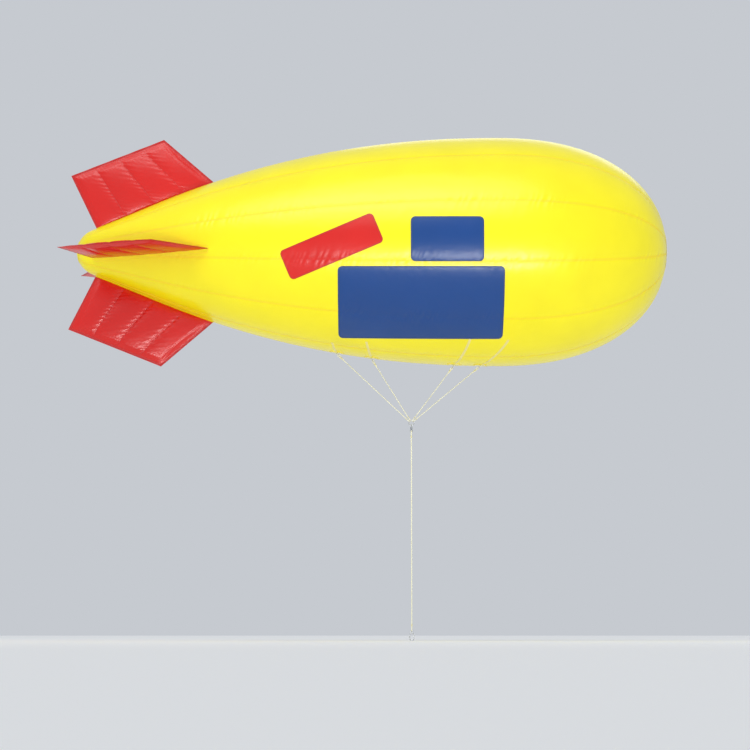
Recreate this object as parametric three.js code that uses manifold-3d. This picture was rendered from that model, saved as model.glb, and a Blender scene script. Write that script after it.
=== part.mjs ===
// Tethered advertising blimp: a gas-filled hull with four tail fins, held down by four bridle
// lines that meet at a steel ring, a swivel, a tether and a snap hook.
// Millimetres. +X points to the nose, +Y to port, +Z up. The origin lies on the hull's axis,
// straight above the bridle ring. A station is a distance along the axis from the tail's tip.
import * as THREE from 'three';
import { mergeVertices } from 'three/addons/utils/BufferGeometryUtils.js';
import Module from 'manifold-3d';

const wasm = await Module();
wasm.setup();

// Hull profile: a round tail cap, a straight cone, a shoulder that swells to the widest
// station, and a blunt nose.
const HULL_LENGTH = 6000;
const HULL_RADIUS = 1162;
const WIDEST_STATION = 4290;
const TAIL_CAP_RADIUS = 242;
const CONE_SLOPE = 0.412;
const CONE_END = 824;
const NOSE_POWER = 2.217;
const NOSE_ROOT = 0.461;
// The nose's rings crowd towards its tip by this power.
const NOSE_CROWDING = 1.9;
const WALL = 10;
const LIFT_STATION = 3405;
const HULL_SIDES = 40;
// Rings of the body between the tail cap and the nose. Two pass under the rear load points.
const BODY_RINGS = [330, 560, 824, 1120, 1420, 1730, 2030, 2330, 2630, 2980, 3400, 3840, 4290];
const SEAT_GAP = 0.5;
const FIT_GAP = 0.3;
// How far a cutting tool runs past the faces that it cuts.
const CUT_MARGIN = 2;
// Sides of a round piece, by its size.
const SIDES = { rod: 8, small: 16, round: 24 };

// Tail fins, all of one outline. The side fins stand a little below the axis.
const FIN_ROOT_REAR = 196;
const FIN_ROOT_FRONT = 1399;
const FIN_TIP_REAR = { station: -76, height: 796 };
const FIN_TIP_FRONT = { station: 871, height: 1175 };
const FIN_BELLY = 42;
const FIN_EDGE = 3;
const SIDE_FIN_DROP = 100;
const BAND_WIDTH = 90;
const BAND_THICKNESS = 2.5;

// Discs that close the gores at both ends.
const END_DISC_RADIUS = { nose: 200, tail: 110 };
const END_DISC_THICKNESS = 2;

// Load points along the keel. A tape runs from each one up both flanks.
const LOAD_POINTS = [
  { name: 'rear_outer', station: 2650, tapeStation: 2609, tapeAngle: 17.6, ringAngle: 150 },
  { name: 'rear_inner', station: 3005, tapeStation: 2953, tapeAngle: 24.0, ringAngle: 118 },
  { name: 'front_inner', station: 3837, tapeStation: 3976, tapeAngle: 31.9, ringAngle: 62 },
  { name: 'front_outer', station: 4102, tapeStation: 4352, tapeAngle: 31.2, ringAngle: 32 },
];
const PATCH_RADIUS = 70;
const PATCH_THICKNESS = 3;
const TAPE_WIDTH = 25;
const TAPE_THICKNESS = 2;
const TAPE_START_GAP = 2;
const WEB_LOOP = { outer: 10, inner: 6.5, width: 22, sunk: 1 };

// Rings, lines and eyes.
const D_RING = { radius: 17, stock: 2.5, flat: 7 };
const BRIDLE_RING = { radius: 27, stock: 3.5, z: -1748 };
const LINE_RADIUS = 4;
const LINE_EYE_RADIUS = 9.5;
const TETHER_RADIUS = 6;
const TETHER_EYE_RADIUS = 12;
const SWIVEL = {
  eye: 11, stock: 3.5, barrelRadius: 11, barrelLength: 26, shank: 5, shankLength: 15,
  collarRadius: 9, collarDepth: 5,
};
const FLOOR_Z = -3930;

// Snap hook at the tether's foot.
const HOOK = {
  thickness: 10, halfWidth: 25, bar: 9, straight: 34, eyeRadius: 14, eyeHole: 8, eyeThickness: 4,
  gateWidth: 8.4, gateThickness: 4.4, pin: 1.6, gateGap: 1.5, forkHeight: 14.4, forkDrop: 1,
  neckWidth: 14.4, neckHeight: 6,
};

// Inflation valve on the port lower flank.
const VALVE = {
  station: 1950, angle: 60, tube: 45, bore: 36, depth: 25, rise: 14, flange: 70,
  flangeThickness: 3.5, lid: 50, lidThickness: 5.5, hingeOffset: 60, hingeRise: 10, knuckle: 4,
  earLength: 10, earOffset: 14, tabWidth: 16, tabOverlap: 6, rootDepth: 1,
};

const COLOURS = {
  yellow: new THREE.Color(0xfff500),
  red: new THREE.Color(0xda261c),
  cream: new THREE.Color(0xf4efc8),
  steel: new THREE.Color(0xb9bcc0),
  white: new THREE.Color(0xf0f0ea),
};

const film = (color) => new THREE.MeshStandardMaterial({ color, roughness: 0.35, metalness: 0 });
const cloth = (color) => new THREE.MeshStandardMaterial({ color, roughness: 0.8, metalness: 0 });
const metal = (color) => new THREE.MeshStandardMaterial({ color, roughness: 0.3, metalness: 1 });

const rad = THREE.MathUtils.degToRad;

// Closed solid from a three.js geometry: positions only, shared vertices, no flat triangles.
function solidFrom(geometry) {
  const bare = geometry.clone();
  bare.deleteAttribute('normal');
  bare.deleteAttribute('uv');
  const merged = mergeVertices(bare, 1e-3);
  const index = merged.index.array;
  const kept = [];
  for (let i = 0; i < index.length; i += 3) {
    const [a, b, c] = [index[i], index[i + 1], index[i + 2]];
    if (a !== b && b !== c && c !== a) kept.push(a, b, c);
  }
  return new wasm.Manifold(new wasm.Mesh({
    numProp: 3,
    vertProperties: new Float32Array(merged.attributes.position.array),
    triVerts: new Uint32Array(kept),
  }));
}

function geometryFrom(solid) {
  const mesh = solid.getMesh();
  const geometry = new THREE.BufferGeometry();
  geometry.setAttribute('position', new THREE.BufferAttribute(mesh.vertProperties, 3));
  geometry.setIndex(new THREE.BufferAttribute(mesh.triVerts, 1));
  geometry.computeVertexNormals();
  return geometry;
}

function join(...geometries) {
  const solids = geometries.map(solidFrom);
  return geometryFrom(solids.reduce((whole, piece) => whole.add(piece)));
}

function cut(geometry, ...tools) {
  let rest = solidFrom(geometry);
  for (const tool of tools) rest = rest.subtract(solidFrom(tool));
  return geometryFrom(rest);
}

function piece(name, geometry, material) {
  const mesh = new THREE.Mesh(geometry, material);
  mesh.name = name;
  return mesh;
}

// Radius of the hull at a station.
const capCos = 1 / Math.hypot(1, CONE_SLOPE);
const CONE_START = TAIL_CAP_RADIUS * (1 - CONE_SLOPE * capCos);
const CONE_END_RADIUS = TAIL_CAP_RADIUS * capCos + (CONE_END - CONE_START) * CONE_SLOPE;
const SHOULDER_RISE = HULL_RADIUS - CONE_END_RADIUS;
const SHOULDER_POWER = CONE_SLOPE * (WIDEST_STATION - CONE_END) / SHOULDER_RISE;

function hullRadius(station) {
  if (station <= CONE_START) return Math.sqrt(Math.max(0, station * (2 * TAIL_CAP_RADIUS - station)));
  if (station <= CONE_END) return TAIL_CAP_RADIUS * capCos + (station - CONE_START) * CONE_SLOPE;
  if (station <= WIDEST_STATION) {
    const back = (WIDEST_STATION - station) / (WIDEST_STATION - CONE_END);
    return HULL_RADIUS - SHOULDER_RISE * back ** SHOULDER_POWER;
  }
  const ahead = Math.min(1, (station - WIDEST_STATION) / (HULL_LENGTH - WIDEST_STATION));
  return HULL_RADIUS * (1 - ahead ** NOSE_POWER) ** NOSE_ROOT;
}

function hullSlope(station) {
  const step = 0.5;
  return (hullRadius(station + step) - hullRadius(station - step)) / (2 * step);
}

// Point on the hull: the angle is measured from the keel, growing to port, and the lift is
// the distance off the skin along its normal.
function hullPoint(station, angle, lift) {
  const slope = hullSlope(station);
  const stretch = Math.hypot(1, slope);
  const out = hullRadius(station) + lift / stretch;
  return new THREE.Vector3(
    station - LIFT_STATION - (lift * slope) / stretch,
    out * Math.sin(angle),
    -out * Math.cos(angle),
  );
}

// Moves each vertex of a geometry by a function of its place.
function bend(geometry, place) {
  const position = geometry.attributes.position;
  const vertex = new THREE.Vector3();
  for (let i = 0; i < position.count; i += 1) {
    vertex.fromBufferAttribute(position, i);
    const moved = place(vertex.x, vertex.y, vertex.z);
    position.setXYZ(i, moved.x, moved.y, moved.z);
  }
  return geometry;
}

// Profile of the hull as lathe points, from the tail's tip to the nose's tip.
function profile(lift) {
  const [capSteps, noseSteps] = [4, 9];
  const stations = [];
  for (let i = 1; i <= capSteps; i += 1) {
    stations.push(CONE_START * (1 - Math.cos((i / capSteps) * Math.PI / 2)));
  }
  stations.push(...BODY_RINGS);
  for (let i = 1; i < noseSteps; i += 1) {
    const left = 1 - i / noseSteps;
    stations.push(HULL_LENGTH - (HULL_LENGTH - WIDEST_STATION) * left ** NOSE_CROWDING);
  }
  const points = stations.map((station) => {
    const at = hullPoint(station, Math.PI, lift);
    return new THREE.Vector2(at.z, at.x);
  });
  points.unshift(new THREE.Vector2(0, -LIFT_STATION - lift));
  points.push(new THREE.Vector2(0, HULL_LENGTH - LIFT_STATION + lift));
  return points;
}

function revolve(points, sides) {
  return new THREE.LatheGeometry(points, sides).rotateZ(-Math.PI / 2);
}

// A frame on the skin: X along the hull to the tail, Z outward.
function skinFrame(station, angle) {
  const here = hullPoint(station, angle, 0);
  const outward = hullPoint(station, angle, 1).sub(here).normalize();
  const aft = hullPoint(station - 1, angle, 0).sub(hullPoint(station + 1, angle, 0)).normalize();
  const across = new THREE.Vector3().crossVectors(outward, aft);
  return new THREE.Matrix4().makeBasis(aft, across, outward).setPosition(here);
}

const root = new THREE.Group();

// Envelope
const valveFrame = skinFrame(VALVE.station, rad(VALVE.angle));
const boreRadius = VALVE.tube + SEAT_GAP;
const valveBore = new THREE.CylinderGeometry(boreRadius, boreRadius, 4 * WALL, SIDES.round)
  .rotateX(Math.PI / 2)
  .applyMatrix4(valveFrame);
root.add(piece(
  'envelope',
  cut(revolve(profile(0), HULL_SIDES), revolve(profile(-WALL), HULL_SIDES), valveBore),
  film(COLOURS.yellow),
));

// Discs over the ends of the gores
function endDisc(reach, tip, inward) {
  const steps = 5;
  const outer = [];
  const inner = [];
  for (let i = 0; i <= steps; i += 1) {
    const station = tip + inward * reach * (i / steps) ** 2;
    const top = hullPoint(station, Math.PI, SEAT_GAP + END_DISC_THICKNESS);
    const base = hullPoint(station, Math.PI, SEAT_GAP);
    outer.push(i === 0
      ? new THREE.Vector2(0, tip - LIFT_STATION - inward * (SEAT_GAP + END_DISC_THICKNESS))
      : new THREE.Vector2(top.z, top.x));
    inner.push(i === 0
      ? new THREE.Vector2(0, tip - LIFT_STATION - inward * SEAT_GAP)
      : new THREE.Vector2(base.z, base.x));
  }
  const loop = inward > 0 ? [...outer, ...inner.reverse()] : [...inner, ...outer.reverse()];
  return geometryFrom(solidFrom(revolve(loop, HULL_SIDES)));
}

function stationAtRadius(radius, from, to) {
  let [low, high] = [from, to];
  for (let i = 0; i < 50; i += 1) {
    const middle = (low + high) / 2;
    if (hullRadius(middle) < radius) low = middle;
    else high = middle;
  }
  return low;
}
const noseReach = HULL_LENGTH - stationAtRadius(END_DISC_RADIUS.nose, HULL_LENGTH, WIDEST_STATION);
const tailReach = stationAtRadius(END_DISC_RADIUS.tail, 0, WIDEST_STATION);
root.add(piece('nose_disc', endDisc(noseReach, HULL_LENGTH, -1), film(COLOURS.yellow)));
root.add(piece('tail_disc', endDisc(tailReach, 0, 1), film(COLOURS.yellow)));

// Fins and the bands that weld their roots to the hull
const FIN_SEAT = SEAT_GAP + BAND_THICKNESS + SEAT_GAP;

// The fin stands up along Y. Each side of its foot meets the skin, which a side fin meets at a slant.
function finGeometry(drop, turn) {
  const [chordSteps, heightSteps] = [12, 8];
  return bend(new THREE.BoxGeometry(2, 2, 2, chordSteps, heightSteps, 1), (u, v, w) => {
    const along = (u + 1) / 2;
    const up = (v + 1) / 2;
    const rootStation = THREE.MathUtils.lerp(FIN_ROOT_REAR, FIN_ROOT_FRONT, along);
    const foot = hullPoint(rootStation, Math.PI, FIN_SEAT);
    const footHeight = Math.sqrt(foot.z ** 2 - (drop - w * Math.cos(turn) * FIN_EDGE) ** 2);
    const tipStation = THREE.MathUtils.lerp(FIN_TIP_REAR.station, FIN_TIP_FRONT.station, along);
    const tipHeight = THREE.MathUtils.lerp(FIN_TIP_REAR.height, FIN_TIP_FRONT.height, along);
    const half = FIN_EDGE + FIN_BELLY * Math.sqrt((1 - u * u) * (1 - v * v));
    return new THREE.Vector3(
      THREE.MathUtils.lerp(foot.x, tipStation - LIFT_STATION, up),
      THREE.MathUtils.lerp(footHeight, tipHeight, up),
      w * half,
    );
  });
}

function bandGeometry(drop, quarter) {
  const length = FIN_ROOT_FRONT - FIN_ROOT_REAR;
  const [lengthSteps, widthSteps] = [14, 6];
  const strip = new THREE.BoxGeometry(length, BAND_WIDTH, BAND_THICKNESS, lengthSteps, widthSteps, 1);
  return bend(strip, (x, y, z) => {
    const station = x + (FIN_ROOT_REAR + FIN_ROOT_FRONT) / 2;
    const side = Math.asin(drop / hullRadius(station));
    const angle = quarter - Math.sign(quarter) * side - y / hullRadius(station);
    return hullPoint(station, angle, SEAT_GAP + BAND_THICKNESS / 2 + z);
  });
}

const FINS = [
  { name: 'top', turn: Math.PI / 2, quarter: Math.PI, drop: 0 },
  { name: 'bottom', turn: -Math.PI / 2, quarter: 0, drop: 0 },
  { name: 'port', turn: 0, quarter: Math.PI / 2, drop: SIDE_FIN_DROP },
  { name: 'starboard', turn: Math.PI, quarter: -Math.PI / 2, drop: SIDE_FIN_DROP },
];
for (const { name, turn, quarter, drop } of FINS) {
  const fin = piece(`fin_${name}`, finGeometry(drop, turn), film(COLOURS.red));
  fin.rotation.x = turn;
  fin.position.z = -drop;
  root.add(fin);
  root.add(piece(`fin_band_${name}`, bandGeometry(drop, quarter), film(COLOURS.yellow)));
}

// Load patches, tapes, rings and bridle lines
function patchGeometry(station) {
  const top = SEAT_GAP + PATCH_THICKNESS;
  const middle = PATCH_RADIUS * 0.6;
  const disc = revolveUpright([
    [0, SEAT_GAP], [middle, SEAT_GAP], [PATCH_RADIUS, SEAT_GAP],
    [PATCH_RADIUS, top], [middle, top], [0, top],
  ], SIDES.round);
  const wrapped = bend(disc, (x, y, z) => hullPoint(station + x, -y / hullRadius(station + x), z));
  const loop = cut(
    new THREE.CylinderGeometry(WEB_LOOP.outer, WEB_LOOP.outer, WEB_LOOP.width, SIDES.small),
    new THREE.CylinderGeometry(WEB_LOOP.inner, WEB_LOOP.inner, WEB_LOOP.width + CUT_MARGIN, SIDES.small),
  );
  const centre = loadLoopCentre(station);
  loop.translate(centre.x, centre.y, centre.z);
  return join(wrapped, loop);
}

// Lathe whose axis is Z.
function revolveUpright(rows, sides) {
  const points = rows.map(([radius, height]) => new THREE.Vector2(radius, height));
  return new THREE.LatheGeometry(points, sides).rotateX(Math.PI / 2);
}

function loadLoopCentre(station) {
  return hullPoint(station, 0, SEAT_GAP + PATCH_THICKNESS - WEB_LOOP.sunk + WEB_LOOP.outer);
}

function tapeGeometry({ station, tapeStation, tapeAngle }, side) {
  const start = new THREE.Vector2(station, 0);
  const end = new THREE.Vector2(tapeStation, side * rad(tapeAngle) * hullRadius(tapeStation));
  const run = end.clone().sub(start);
  const length = run.length();
  run.normalize();
  const across = new THREE.Vector2(run.y, -run.x);
  const first = PATCH_RADIUS + TAPE_START_GAP;
  const lengthSteps = 14;
  const box = new THREE.BoxGeometry(length - first, TAPE_WIDTH, TAPE_THICKNESS, lengthSteps, 1, 1);
  return bend(box, (x, y, z) => {
    const distance = x + (length + first) / 2;
    const at = start.clone().addScaledVector(run, distance).addScaledVector(across, y);
    return hullPoint(at.x, at.y / hullRadius(at.x), SEAT_GAP + TAPE_THICKNESS / 2 + z);
  });
}

// Ring flattened to a D: its straight side is above, its plane is XY.
function dRingGeometry() {
  const { radius, stock, flat } = D_RING;
  return bend(new THREE.TorusGeometry(radius, stock, SIDES.rod, SIDES.round), (x, y, z) => {
    const middle = new THREE.Vector2(x, y).setLength(radius);
    return new THREE.Vector3(x, y - Math.max(0, middle.y - flat), z);
  });
}

// Frame whose Y axis points along a line and whose Z axis is as given.
function alongFrame(origin, up, normal) {
  const side = new THREE.Vector3().crossVectors(up, normal).normalize();
  const face = new THREE.Vector3().crossVectors(side, up).normalize();
  return new THREE.Matrix4().makeBasis(side, up, face).setPosition(origin);
}

function strand(from, to, radius) {
  const run = to.clone().sub(from);
  const tube = new THREE.CylinderGeometry(radius, radius, run.length(), SIDES.rod);
  const turn = new THREE.Quaternion().setFromUnitVectors(new THREE.Vector3(0, 1, 0), run.normalize());
  return tube.applyQuaternion(turn).translate(...from.clone().add(to).multiplyScalar(0.5).toArray());
}

function eye(centre, up, normal, radius, stock) {
  return new THREE.TorusGeometry(radius, stock, SIDES.rod, SIDES.small)
    .applyMatrix4(alongFrame(centre, up, normal));
}

const PORT = new THREE.Vector3(0, 1, 0);
const UP = new THREE.Vector3(0, 0, 1);
const FORWARD = new THREE.Vector3(1, 0, 0);
const ringCentre = new THREE.Vector3(0, 0, BRIDLE_RING.z);

for (const point of LOAD_POINTS) {
  const loop = loadLoopCentre(point.station);
  const ringSeat = new THREE.Vector3(Math.cos(rad(point.ringAngle)), 0, Math.sin(rad(point.ringAngle)))
    .multiplyScalar(BRIDLE_RING.radius)
    .add(ringCentre);
  const up = loop.clone().sub(ringSeat).normalize();
  const inPlane = new THREE.Vector3().crossVectors(up, PORT);

  root.add(piece(`load_patch_${point.name}`, patchGeometry(point.station), film(COLOURS.yellow)));
  for (const [sideName, side] of [['port', 1], ['starboard', -1]]) {
    const tape = tapeGeometry(point, side);
    root.add(piece(`load_tape_${point.name}_${sideName}`, tape, cloth(COLOURS.cream)));
  }

  // The straight bar rests in the web loop, 0.3 mm off its lower side.
  const barDrop = WEB_LOOP.inner - D_RING.stock - FIT_GAP;
  const dCentre = loop.clone().addScaledVector(up, -barDrop - D_RING.flat);
  const dRing = dRingGeometry().applyMatrix4(alongFrame(dCentre, up, inPlane));
  root.add(piece(`load_ring_${point.name}`, dRing, metal(COLOURS.steel)));

  const eyeInner = LINE_EYE_RADIUS - LINE_RADIUS;
  const topSeat = dCentre.clone().addScaledVector(up, -D_RING.radius);
  const topEye = topSeat.clone().addScaledVector(up, -(eyeInner - D_RING.stock - FIT_GAP));
  const lowEye = ringSeat.clone().addScaledVector(up, eyeInner - BRIDLE_RING.stock - FIT_GAP);
  const line = join(
    strand(
      lowEye.clone().addScaledVector(up, LINE_EYE_RADIUS),
      topEye.clone().addScaledVector(up, -LINE_EYE_RADIUS),
      LINE_RADIUS,
    ),
    eye(topEye, up, PORT, LINE_EYE_RADIUS, LINE_RADIUS),
    eye(lowEye, up, inPlane, LINE_EYE_RADIUS, LINE_RADIUS),
  );
  root.add(piece(`bridle_line_${point.name}`, line, cloth(COLOURS.cream)));
}

const bridleRing = new THREE.TorusGeometry(BRIDLE_RING.radius, BRIDLE_RING.stock, SIDES.rod, SIDES.round)
  .rotateX(Math.PI / 2)
  .translate(0, 0, BRIDLE_RING.z);
root.add(piece('bridle_ring', bridleRing, metal(COLOURS.steel)));

// Swivel: a barrel that hangs in the ring by its eye, and a lower eye that turns in it
const swivelEyeInner = SWIVEL.eye - SWIVEL.stock;
const upperSeatZ = BRIDLE_RING.z - BRIDLE_RING.radius;
const upperEyeZ = upperSeatZ - (swivelEyeInner - BRIDLE_RING.stock - FIT_GAP);
const barrelTop = upperEyeZ - SWIVEL.eye;
const barrelBottom = barrelTop - SWIVEL.barrelLength;

function upright(radius, top, bottom) {
  return new THREE.CylinderGeometry(radius, radius, top - bottom, SIDES.round)
    .rotateX(Math.PI / 2)
    .translate(0, 0, (top + bottom) / 2);
}

const barrel = cut(
  join(
    eye(new THREE.Vector3(0, 0, upperEyeZ), UP, FORWARD, SWIVEL.eye, SWIVEL.stock),
    upright(SWIVEL.barrelRadius, barrelTop, barrelBottom),
  ),
  upright(SWIVEL.shank + FIT_GAP, barrelBottom + SWIVEL.shankLength + 1, barrelBottom - CUT_MARGIN),
);
root.add(piece('swivel_barrel', barrel, metal(COLOURS.steel)));

const collarTop = barrelBottom - SEAT_GAP;
const collarBottom = collarTop - SWIVEL.collarDepth;
const lowerEyeZ = collarBottom - SWIVEL.eye + 1;
const swivelEye = join(
  upright(SWIVEL.shank, barrelBottom + SWIVEL.shankLength, collarTop - 1),
  upright(SWIVEL.collarRadius, collarTop, collarBottom),
  eye(new THREE.Vector3(0, 0, lowerEyeZ), UP, PORT, SWIVEL.eye, SWIVEL.stock),
);
root.add(piece('swivel_eye', swivelEye, metal(COLOURS.steel)));

// Tether with an eye at each end
const tetherEyeInner = TETHER_EYE_RADIUS - TETHER_RADIUS;
const tetherSeatZ = lowerEyeZ - SWIVEL.eye;
const tetherTopEyeZ = tetherSeatZ - (tetherEyeInner - SWIVEL.stock - FIT_GAP);
const hookLength = HOOK.eyeRadius + 2 * HOOK.halfWidth + HOOK.straight;
const hookEyeZ = FLOOR_Z + hookLength;
const tetherLowSeatZ = hookEyeZ + HOOK.eyeHole - TETHER_RADIUS - SEAT_GAP;
const tetherLowEyeZ = tetherLowSeatZ + TETHER_EYE_RADIUS;
const tether = join(
  strand(
    new THREE.Vector3(0, 0, tetherLowEyeZ + TETHER_EYE_RADIUS),
    new THREE.Vector3(0, 0, tetherTopEyeZ - TETHER_EYE_RADIUS),
    TETHER_RADIUS,
  ),
  eye(new THREE.Vector3(0, 0, tetherTopEyeZ), UP, FORWARD, TETHER_EYE_RADIUS, TETHER_RADIUS),
  eye(new THREE.Vector3(0, 0, tetherLowEyeZ), UP, FORWARD, TETHER_EYE_RADIUS, TETHER_RADIUS),
);
root.add(piece('tether', tether, cloth(COLOURS.cream)));

// Snap hook, drawn about the centre of its eye, and its gate
function slotShape(halfWidth, straight) {
  const shape = new THREE.Shape();
  shape.absarc(0, straight / 2, halfWidth, 0, Math.PI);
  shape.absarc(0, -straight / 2, halfWidth, Math.PI, 2 * Math.PI);
  return shape;
}

function plate(shape, thickness) {
  return new THREE.ExtrudeGeometry(shape, { depth: thickness, bevelEnabled: false, curveSegments: 8 })
    .translate(0, 0, -thickness / 2);
}

const hookMiddle = -(HOOK.eyeRadius + HOOK.halfWidth + HOOK.straight / 2);
const gateX = HOOK.halfWidth - HOOK.bar / 2;
const gateFoot = hookMiddle - HOOK.straight / 2 + HOOK.gateWidth / 2;
const gateHead = hookMiddle + HOOK.straight / 2;
const frameShape = slotShape(HOOK.halfWidth, HOOK.straight);
frameShape.holes.push(slotShape(HOOK.halfWidth - HOOK.bar, HOOK.straight));
const eyeShape = new THREE.Shape().absarc(0, 0, HOOK.eyeRadius, 0, 2 * Math.PI);
const cutWidth = HOOK.bar + 2 * CUT_MARGIN;
const gateSlot = new THREE.BoxGeometry(cutWidth, HOOK.straight, HOOK.thickness + CUT_MARGIN)
  .translate(gateX, hookMiddle, 0);
const gateFork = new THREE.BoxGeometry(cutWidth, HOOK.forkHeight, HOOK.gateThickness + 2 * SEAT_GAP)
  .translate(gateX, gateFoot - HOOK.forkDrop, 0);

// Round piece of the hook, square to its plane.
function across(radius, length, x, y, sides) {
  return new THREE.CylinderGeometry(radius, radius, length, sides)
    .rotateX(Math.PI / 2)
    .translate(x, y, 0);
}

const forkCheek = across(HOOK.bar / 2, HOOK.thickness, gateX, gateFoot, SIDES.round);
const gatePin = across(HOOK.pin, HOOK.thickness - 2 * SEAT_GAP, gateX, gateFoot, SIDES.small);
const hookFrame = cut(plate(frameShape, HOOK.thickness).translate(0, hookMiddle, 0), gateSlot);
const hookEye = plate(eyeShape, HOOK.eyeThickness);
const hookHole = across(HOOK.eyeHole, HOOK.thickness + CUT_MARGIN, 0, 0, SIDES.round);
const neck = new THREE.BoxGeometry(HOOK.neckWidth, HOOK.neckHeight, HOOK.eyeThickness)
  .translate(0, -HOOK.eyeRadius, 0);
const hookBody = join(cut(join(hookFrame, forkCheek, hookEye, neck), hookHole, gateFork), gatePin);
const hook = new THREE.Group();
hook.position.z = hookEyeZ;
hook.rotation.x = Math.PI / 2;
hook.add(piece('hook_body', hookBody, metal(COLOURS.steel)));

const gateLength = gateHead - HOOK.gateGap - gateFoot;
const gateBar = new THREE.BoxGeometry(HOOK.gateWidth, gateLength, HOOK.gateThickness)
  .translate(gateX, gateFoot + gateLength / 2, 0);
const gateEnd = across(HOOK.gateWidth / 2, HOOK.gateThickness, gateX, gateFoot, SIDES.round);
const gateHole = across(HOOK.pin + FIT_GAP, HOOK.thickness, gateX, gateFoot, SIDES.small);
hook.add(piece('hook_gate', cut(join(gateBar, gateEnd), gateHole), metal(COLOURS.steel)));
root.add(hook);

// Inflation valve, drawn on the skin's own frame, with its hinge on the upper side
const valve = new THREE.Group();
valve.applyMatrix4(valveFrame);
const flangeTop = SEAT_GAP + VALVE.flangeThickness;
const valveTube = revolveUpright([
  [VALVE.bore, -VALVE.depth], [VALVE.tube, -VALVE.depth], [VALVE.tube, SEAT_GAP],
  [VALVE.flange, SEAT_GAP], [VALVE.flange, flangeTop], [VALVE.tube, flangeTop],
  [VALVE.tube, VALVE.rise], [VALVE.bore, VALVE.rise], [VALVE.bore, -VALVE.depth],
], SIDES.round);

function hingeBar(length, x) {
  return new THREE.CylinderGeometry(VALVE.knuckle, VALVE.knuckle, length, SIDES.small)
    .rotateZ(Math.PI / 2)
    .translate(x, VALVE.hingeOffset, VALVE.hingeRise);
}

const earFoot = flangeTop - VALVE.rootDepth;
const ears = [-1, 1].flatMap((side) => [
  hingeBar(VALVE.earLength, side * VALVE.earOffset),
  new THREE.BoxGeometry(VALVE.earLength, VALVE.knuckle * 2, VALVE.hingeRise - earFoot)
    .translate(side * VALVE.earOffset, VALVE.hingeOffset, (VALVE.hingeRise + earFoot) / 2),
]);
valve.add(piece('valve_base', join(valveTube, ...ears), film(COLOURS.white)));

const lidBase = VALVE.rise + SEAT_GAP;
const lidTop = lidBase + VALVE.lidThickness;
const lidDisc = revolveUpright([
  [0, lidBase], [VALVE.lid, lidBase], [VALVE.lid, lidTop], [0, lidTop],
], SIDES.round);
const tabStart = VALVE.lid - VALVE.tabOverlap;
const lidTab = new THREE.BoxGeometry(VALVE.tabWidth, VALVE.hingeOffset - tabStart, VALVE.lidThickness)
  .translate(0, (VALVE.hingeOffset + tabStart) / 2, lidBase + VALVE.lidThickness / 2);
const lidKnuckle = hingeBar(VALVE.tabWidth, 0);
const dropTop = lidBase + VALVE.rootDepth;
const lidDrop = new THREE.BoxGeometry(VALVE.tabWidth, VALVE.knuckle * 2, dropTop - VALVE.hingeRise)
  .translate(0, VALVE.hingeOffset, (dropTop + VALVE.hingeRise) / 2);
valve.add(piece('valve_lid', join(lidDisc, lidTab, lidDrop, lidKnuckle), film(COLOURS.white)));
root.add(valve);

export default root;
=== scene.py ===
import math

import bpy
import numpy as np
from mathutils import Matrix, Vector


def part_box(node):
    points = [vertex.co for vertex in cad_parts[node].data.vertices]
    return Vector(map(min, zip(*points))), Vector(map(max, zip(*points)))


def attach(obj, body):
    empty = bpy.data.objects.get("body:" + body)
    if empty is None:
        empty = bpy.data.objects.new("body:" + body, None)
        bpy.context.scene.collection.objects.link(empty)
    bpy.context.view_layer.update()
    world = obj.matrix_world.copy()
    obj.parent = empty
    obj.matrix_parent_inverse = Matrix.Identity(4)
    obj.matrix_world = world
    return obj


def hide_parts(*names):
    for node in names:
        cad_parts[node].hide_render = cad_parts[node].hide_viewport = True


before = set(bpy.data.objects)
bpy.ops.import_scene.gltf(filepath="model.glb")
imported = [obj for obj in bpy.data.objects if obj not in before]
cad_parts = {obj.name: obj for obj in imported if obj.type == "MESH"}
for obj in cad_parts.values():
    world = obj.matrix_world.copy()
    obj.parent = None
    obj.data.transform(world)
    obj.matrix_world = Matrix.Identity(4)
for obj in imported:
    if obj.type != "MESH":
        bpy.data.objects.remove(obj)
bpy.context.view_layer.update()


# Camera
# It stands at floor level far off the starboard side with a long lens, and looks up at the belly,
# so that the blimp is drawn almost without perspective.
FOCAL_LENGTH_MM = 95.0
SENSOR_MM = 36.0
CAMERA_PLACE = (-0.3665, -19.859, -3.8696)
CAMERA_PITCH_DEG = 7.4816
CAMERA_SIGHT = 400.0

camera_data = bpy.data.cameras.new("camera")
camera_data.lens = FOCAL_LENGTH_MM
camera_data.sensor_width = SENSOR_MM
camera_data.clip_end = CAMERA_SIGHT
camera = bpy.data.objects.new("camera", camera_data)
camera.location = CAMERA_PLACE
camera.rotation_euler = (math.radians(90 + CAMERA_PITCH_DEG), 0, 0)
bpy.context.scene.collection.objects.link(camera)
bpy.context.scene.camera = camera


# Studio: floor, backdrop colour and lights
# A pale matt floor without edges, a plain cool backdrop that lets the cream lines show, and large
# soft lights that run along the hull, one high on each side and a low fill for the belly.
def linear(hex_code):
    """Linear RGBA of an sRGB hex colour: each channel is cut to 0..1, then the sRGB curve is undone."""
    channels = np.array([(hex_code >> shift & 255) / 255 for shift in (16, 8, 0)])
    curve = np.where(channels <= 0.04045, channels / 12.92, ((channels + 0.055) / 1.055) ** 2.4)
    return (*curve.tolist(), 1.0)


def join_nodes(material, node, sources):
    """Links the outputs of other nodes to a node's sockets."""
    for socket, source in sources.items():
        material.node_tree.links.new(source, node.inputs[socket])


def add_node(material, kind, output, values=None, sources=None, **settings):
    """Adds a node and gives the output asked for: settings are the node's own, values fill its
    sockets, sources are linked to them."""
    node = material.node_tree.nodes.new(f"ShaderNode{kind}")
    for name, value in settings.items():
        setattr(node, name, value)
    for socket, value in (values or {}).items():
        node.inputs[socket].default_value = value
    join_nodes(material, node, sources or {})
    return node.outputs[output]


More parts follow.
